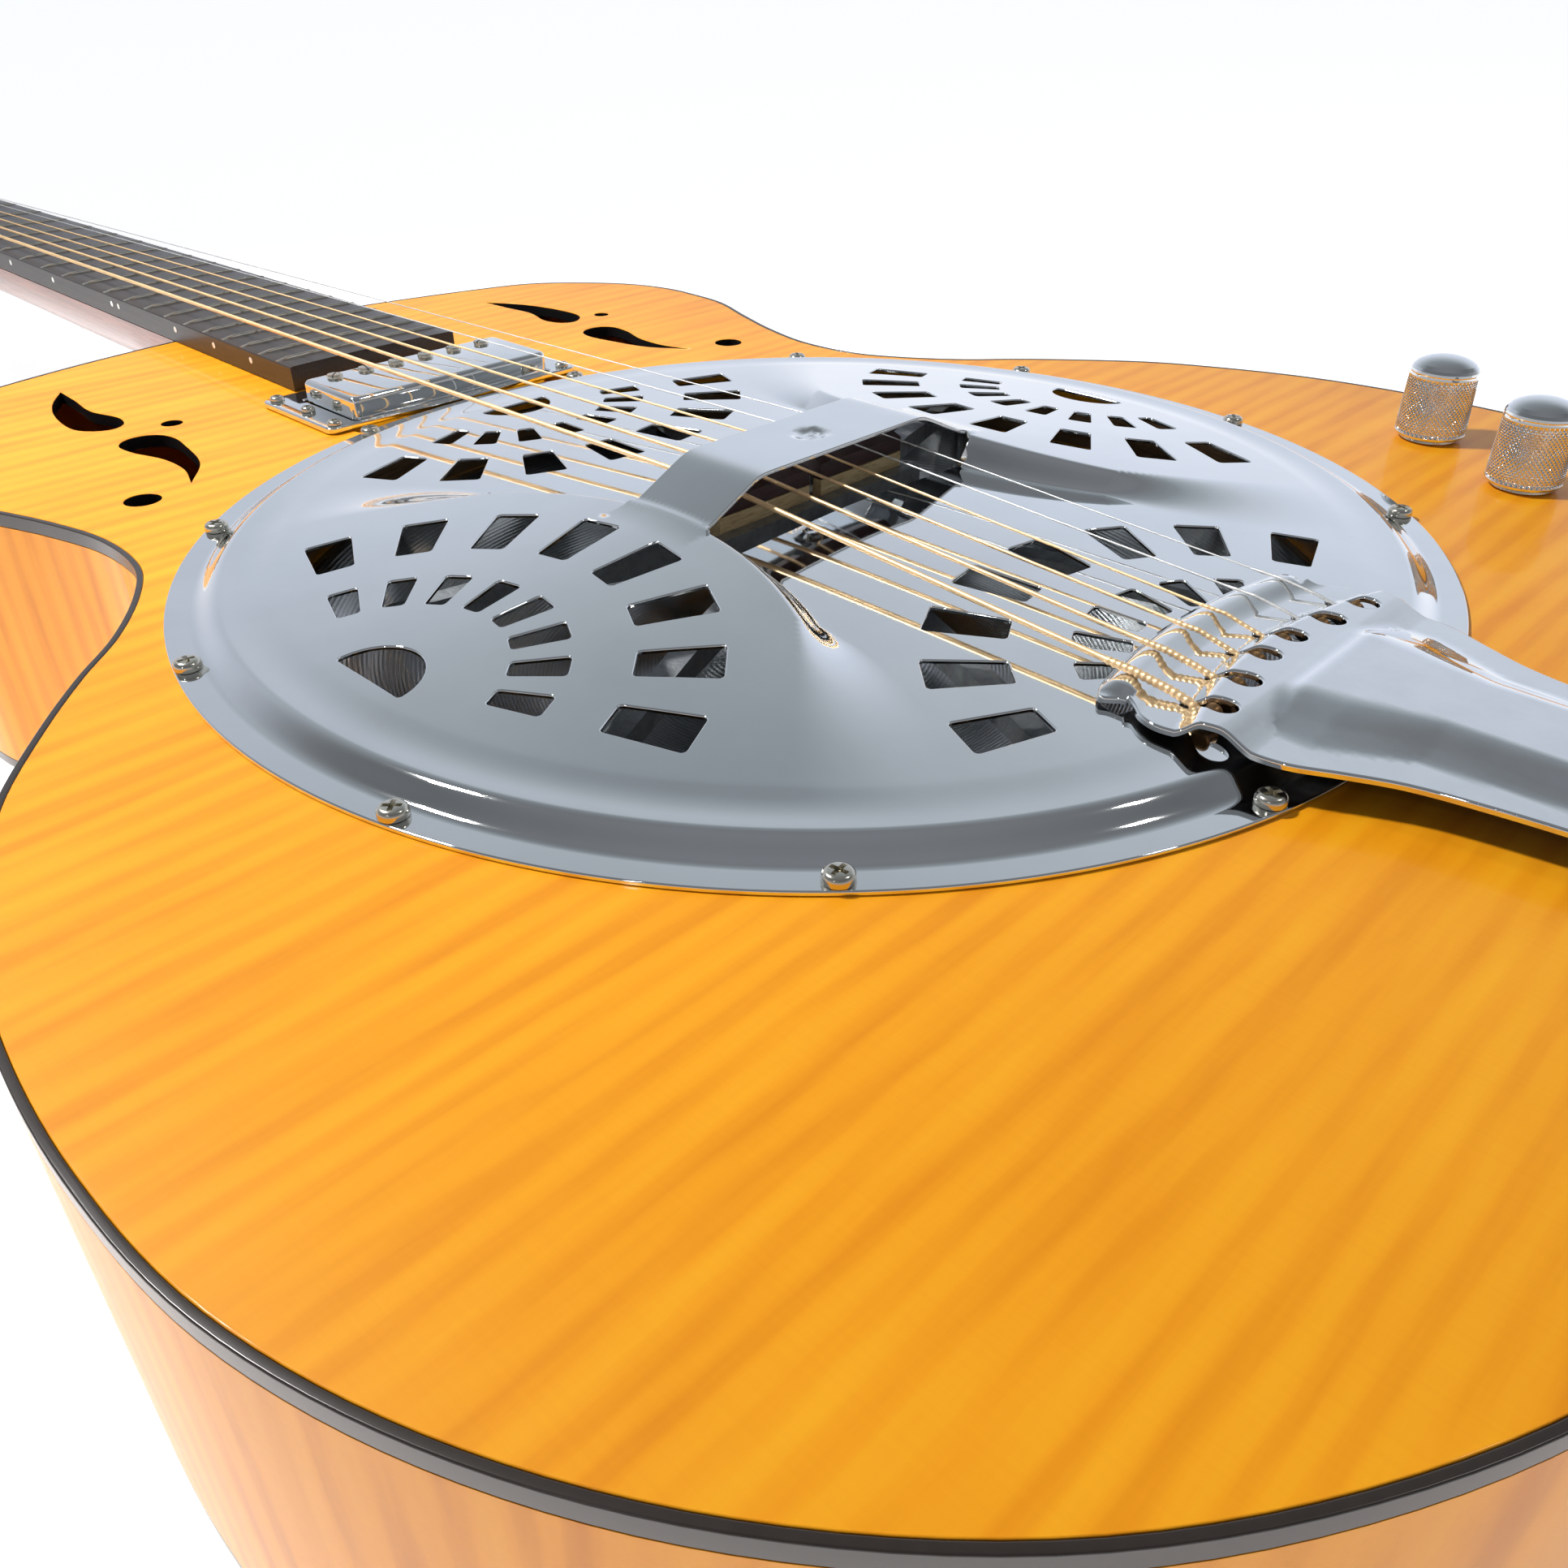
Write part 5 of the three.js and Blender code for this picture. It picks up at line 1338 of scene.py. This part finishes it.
for sname, ids, s in (("bass", (0, 1, 2), -1), ("treble", (3, 4, 5), 1)):
    us = [POSTS[i] for i in ids]
    lo, hi = min(us), max(us)
    at = lambda u: lo[1] + (hi[1] - lo[1]) * (u - lo[0]) / (hi[0] - lo[0])
    c = [(-(lo[0] - 16), at(lo[0] - 16) - 7.5), (-(hi[0] + 16), at(hi[0] + 16) - 7.5), (-(hi[0] + 16), at(hi[0] + 16) + 7.5), (-(lo[0] - 16), at(lo[0] - 16) + 7.5)]
    hl_ = [ring_pts(3.15, 28, -u, w) for u, w in us]
    sc_at = [(-(lo[0] - 12), at(lo[0] - 12)), (-(lo[0] + 21), at(lo[0] + 21)), (-(hi[0] - 21), at(hi[0] - 21)), (-(hi[0] + 12), at(hi[0] + 12))]
    pg = [curve_slab(round_poly(c, 2.2, 5), hl_ + [ring_pts(1.2, 16, *q) for q in sc_at], -HT - 1.5, -HT - 0.25, 0.25, 3)]
    for i in ids:
        u, w = POSTS[i]
        f = -1 if s < 0 else 1
        for ya, yb in ((-6.6, -4.9), (4.9, 6.6)):
            prof2 = round_poly([(-3.2, -1.3), (-3.2, WN - 2.8), (3.2, WN - 2.8), (3.2, -1.3)], [0.1, 2.6, 2.6, 0.1], 8)
            e = curve_slab(prof2, [ring_pts(1.78, 24, 0, WN)], ya, yb, 0.2, 2)
            v = e[0]
            v = np.column_stack([v[:, 0] - GC, v[:, 2], v[:, 1]])
            v[:, 0] *= f
            v[:, 1] *= f
            pg.append((v + np.array([-u, w, -HT]), e[1]))
    piece("tuner_plate_%s_pressed" % sname, on_head(merge_geo(pg)), "nickel_tuner", replaces=["tuner_plate_" + sname])
    ts = [on_head(moved(tiny, (x, y, -HT - 1.52), 0, (0, 0, -1))) for x, y in sc_at]
    piece("tuner_screws_%s" % sname, merge_geo(ts), "nickel_tuner")

# flat faces keep flat shading beside their rounded edges
for o in list(bpy.context.scene.objects):
    if o.type == "MESH" and o.name in ("soundboard_plate", "edge_line_top", "body_sides", "back_panel", "edge_line_back", "headstock_wood", "headstock_face", "pickup_frame", "rod_cover",
                                       "tailpiece_leg", "tuner_plate_bass_pressed", "tuner_plate_treble_pressed", "jack_socket"):
        wn_ = o.modifiers.new("flat_faces", "WEIGHTED_NORMAL")
        wn_.keep_sharp = True
        wn_.weight = 100

# ------------------------------------------------------------------ stage, light, camera
fl = bpy.data.meshes.new("floor")
fl.from_pydata([(-40, -40, 0), (40, -40, 0), (40, 40, 0), (-40, 40, 0)], [], [(0, 1, 2, 3)])
floor = bpy.data.objects.new("floor", fl)
floor.location.z = -0.0002
bpy.context.scene.collection.objects.link(floor)
fm, fnt, fb = new_mat("floor")
fb.inputs["Base Color"].default_value = (0.88, 0.88, 0.89, 1)
fb.inputs["Roughness"].default_value = 0.85
fb.inputs["Emission Color"].default_value = (1, 1, 1, 1)
fb.inputs["Emission Strength"].default_value = 0.72
fl.materials.append(fm)

world = bpy.data.worlds.new("studio")
bpy.context.scene.world = world
world.use_nodes = True
wn = world.node_tree
wn.nodes.clear()
wo = wn.nodes.new("ShaderNodeOutputWorld")
bg = wn.nodes.new("ShaderNodeBackground")
wn.links.new(bg.outputs[0], wo.inputs[0])
tc = wn.nodes.new("ShaderNodeTexCoord")
sep = wn.nodes.new("ShaderNodeSeparateXYZ")
wn.links.new(tc.outputs["Generated"], sep.inputs[0])
# how far a direction leans to the far side of the room
dot = wn.nodes.new("ShaderNodeVectorMath")
dot.operation = "DOT_PRODUCT"
wn.links.new(tc.outputs["Generated"], dot.inputs[0])
dot.inputs[1].default_value = (-0.70, 0.71, 0.0)
mr = wn.nodes.new("ShaderNodeMapRange")
mr.interpolation_type = "SMOOTHSTEP"
mr.inputs["From Min"].default_value = 0.18
mr.inputs["From Max"].default_value = 0.62
wn.links.new(dot.outputs["Value"], mr.inputs["Value"])
back = ramp(wn, [(0.0, (0.60, 0.60, 0.61)), (0.25, (0.36, 0.37, 0.39)), (0.5, (0.19, 0.20, 0.215)), (0.75, (0.15, 0.16, 0.17)), (1.0, (0.22, 0.23, 0.25))])
wn.links.new(sep.outputs["Z"], back.inputs[0])
far = ramp(wn, [(0.0, (0.80, 0.83, 0.90)), (0.17, (0.66, 0.70, 0.80)), (0.34, (0.56, 0.61, 0.70)), (0.42, (0.53, 0.57, 0.65)), (0.50, (0.475, 0.52, 0.58)), (0.574, (0.41, 0.445, 0.49)),
                (0.643, (0.35, 0.385, 0.42)), (0.707, (0.30, 0.335, 0.365)), (0.77, (0.255, 0.285, 0.31)), (1.0, (0.24, 0.26, 0.28))])
wn.links.new(sep.outputs["Z"], far.inputs[0])
mixw = wn.nodes.new("ShaderNodeMix")
mixw.data_type = "RGBA"
wn.links.new(mr.outputs[0], mixw.inputs[0])
wn.links.new(back.outputs[0], mixw.inputs[6])
wn.links.new(far.outputs[0], mixw.inputs[7])
wn.links.new(mixw.outputs[2], bg.inputs["Color"])
# the far wall is a little brighter on one side
side = wn.nodes.new("ShaderNodeVectorMath")
side.operation = "DOT_PRODUCT"
wn.links.new(tc.outputs["Generated"], side.inputs[0])
side.inputs[1].default_value = (-0.26, 0.97, 0.0)
sr = wn.nodes.new("ShaderNodeMapRange")
sr.inputs["From Min"].default_value = 0.3
sr.inputs["From Max"].default_value = 0.95
sr.inputs["To Min"].default_value = 0.90
sr.inputs["To Max"].default_value = 1.20
wn.links.new(side.outputs["Value"], sr.inputs["Value"])
wn.links.new(sr.outputs[0], bg.inputs["Strength"])


def area(name, loc, target, size, power, colour=(1, 1, 1), size_y=None):
    l = bpy.data.lights.new(name, "AREA")
    l.energy = power
    l.size = size
    if size_y:
        l.shape = "RECTANGLE"
        l.size_y = size_y
    l.color = colour
    o = bpy.data.objects.new(name, l)
    o.location = loc
    d = Vector(target) - Vector(loc)
    o.rotation_euler = d.to_track_quat("-Z", "Y").to_euler()
    bpy.context.scene.collection.objects.link(o)
    return o


area("key", (1.5, 1.2, 2.6), (0.3, 0, 0.05), 0.16, 6, (1.0, 0.98, 0.95))
area("top", (-0.325, -0.350, 1.03), (0.12, -0.10, 0.08), 0.13, 3.25, (1.0, 0.99, 0.97)).data.spread = rad(75)
area("near", (0.75, -1.9, 1.5), (0.3, 0, 0.05), 0.08, 1.2, (1.0, 1.0, 1.0))

cam = bpy.data.cameras.new("camera")
cam.sensor_width = 36
cam.lens = 30.26
cam.clip_start = 0.005
cam.clip_end = 100
co = bpy.data.objects.new("camera", cam)
f = Vector((-0.5884, 0.5981, -0.5442)).normalized()
r_ = Vector((0.7129, 0.7013, -0.0117)).normalized()
r_ = (r_ - f * r_.dot(f)).normalized()
u_ = r_.cross(f).normalized()
mw = Matrix.Identity(4)
for i in range(3):
    mw[i][0], mw[i][1], mw[i][2] = r_[i], u_[i], -f[i]
mw.translation = Vector(((202.0 + SX) / 1000, -0.215, (118.6 + D) / 1000))
co.matrix_world = mw
bpy.context.scene.collection.objects.link(co)
bpy.context.scene.camera = co
vs = bpy.context.scene.view_settings
vs.view_transform = "Standard"
vs.look = "None"
vs.exposure = 0.0
vs.gamma = 1.0
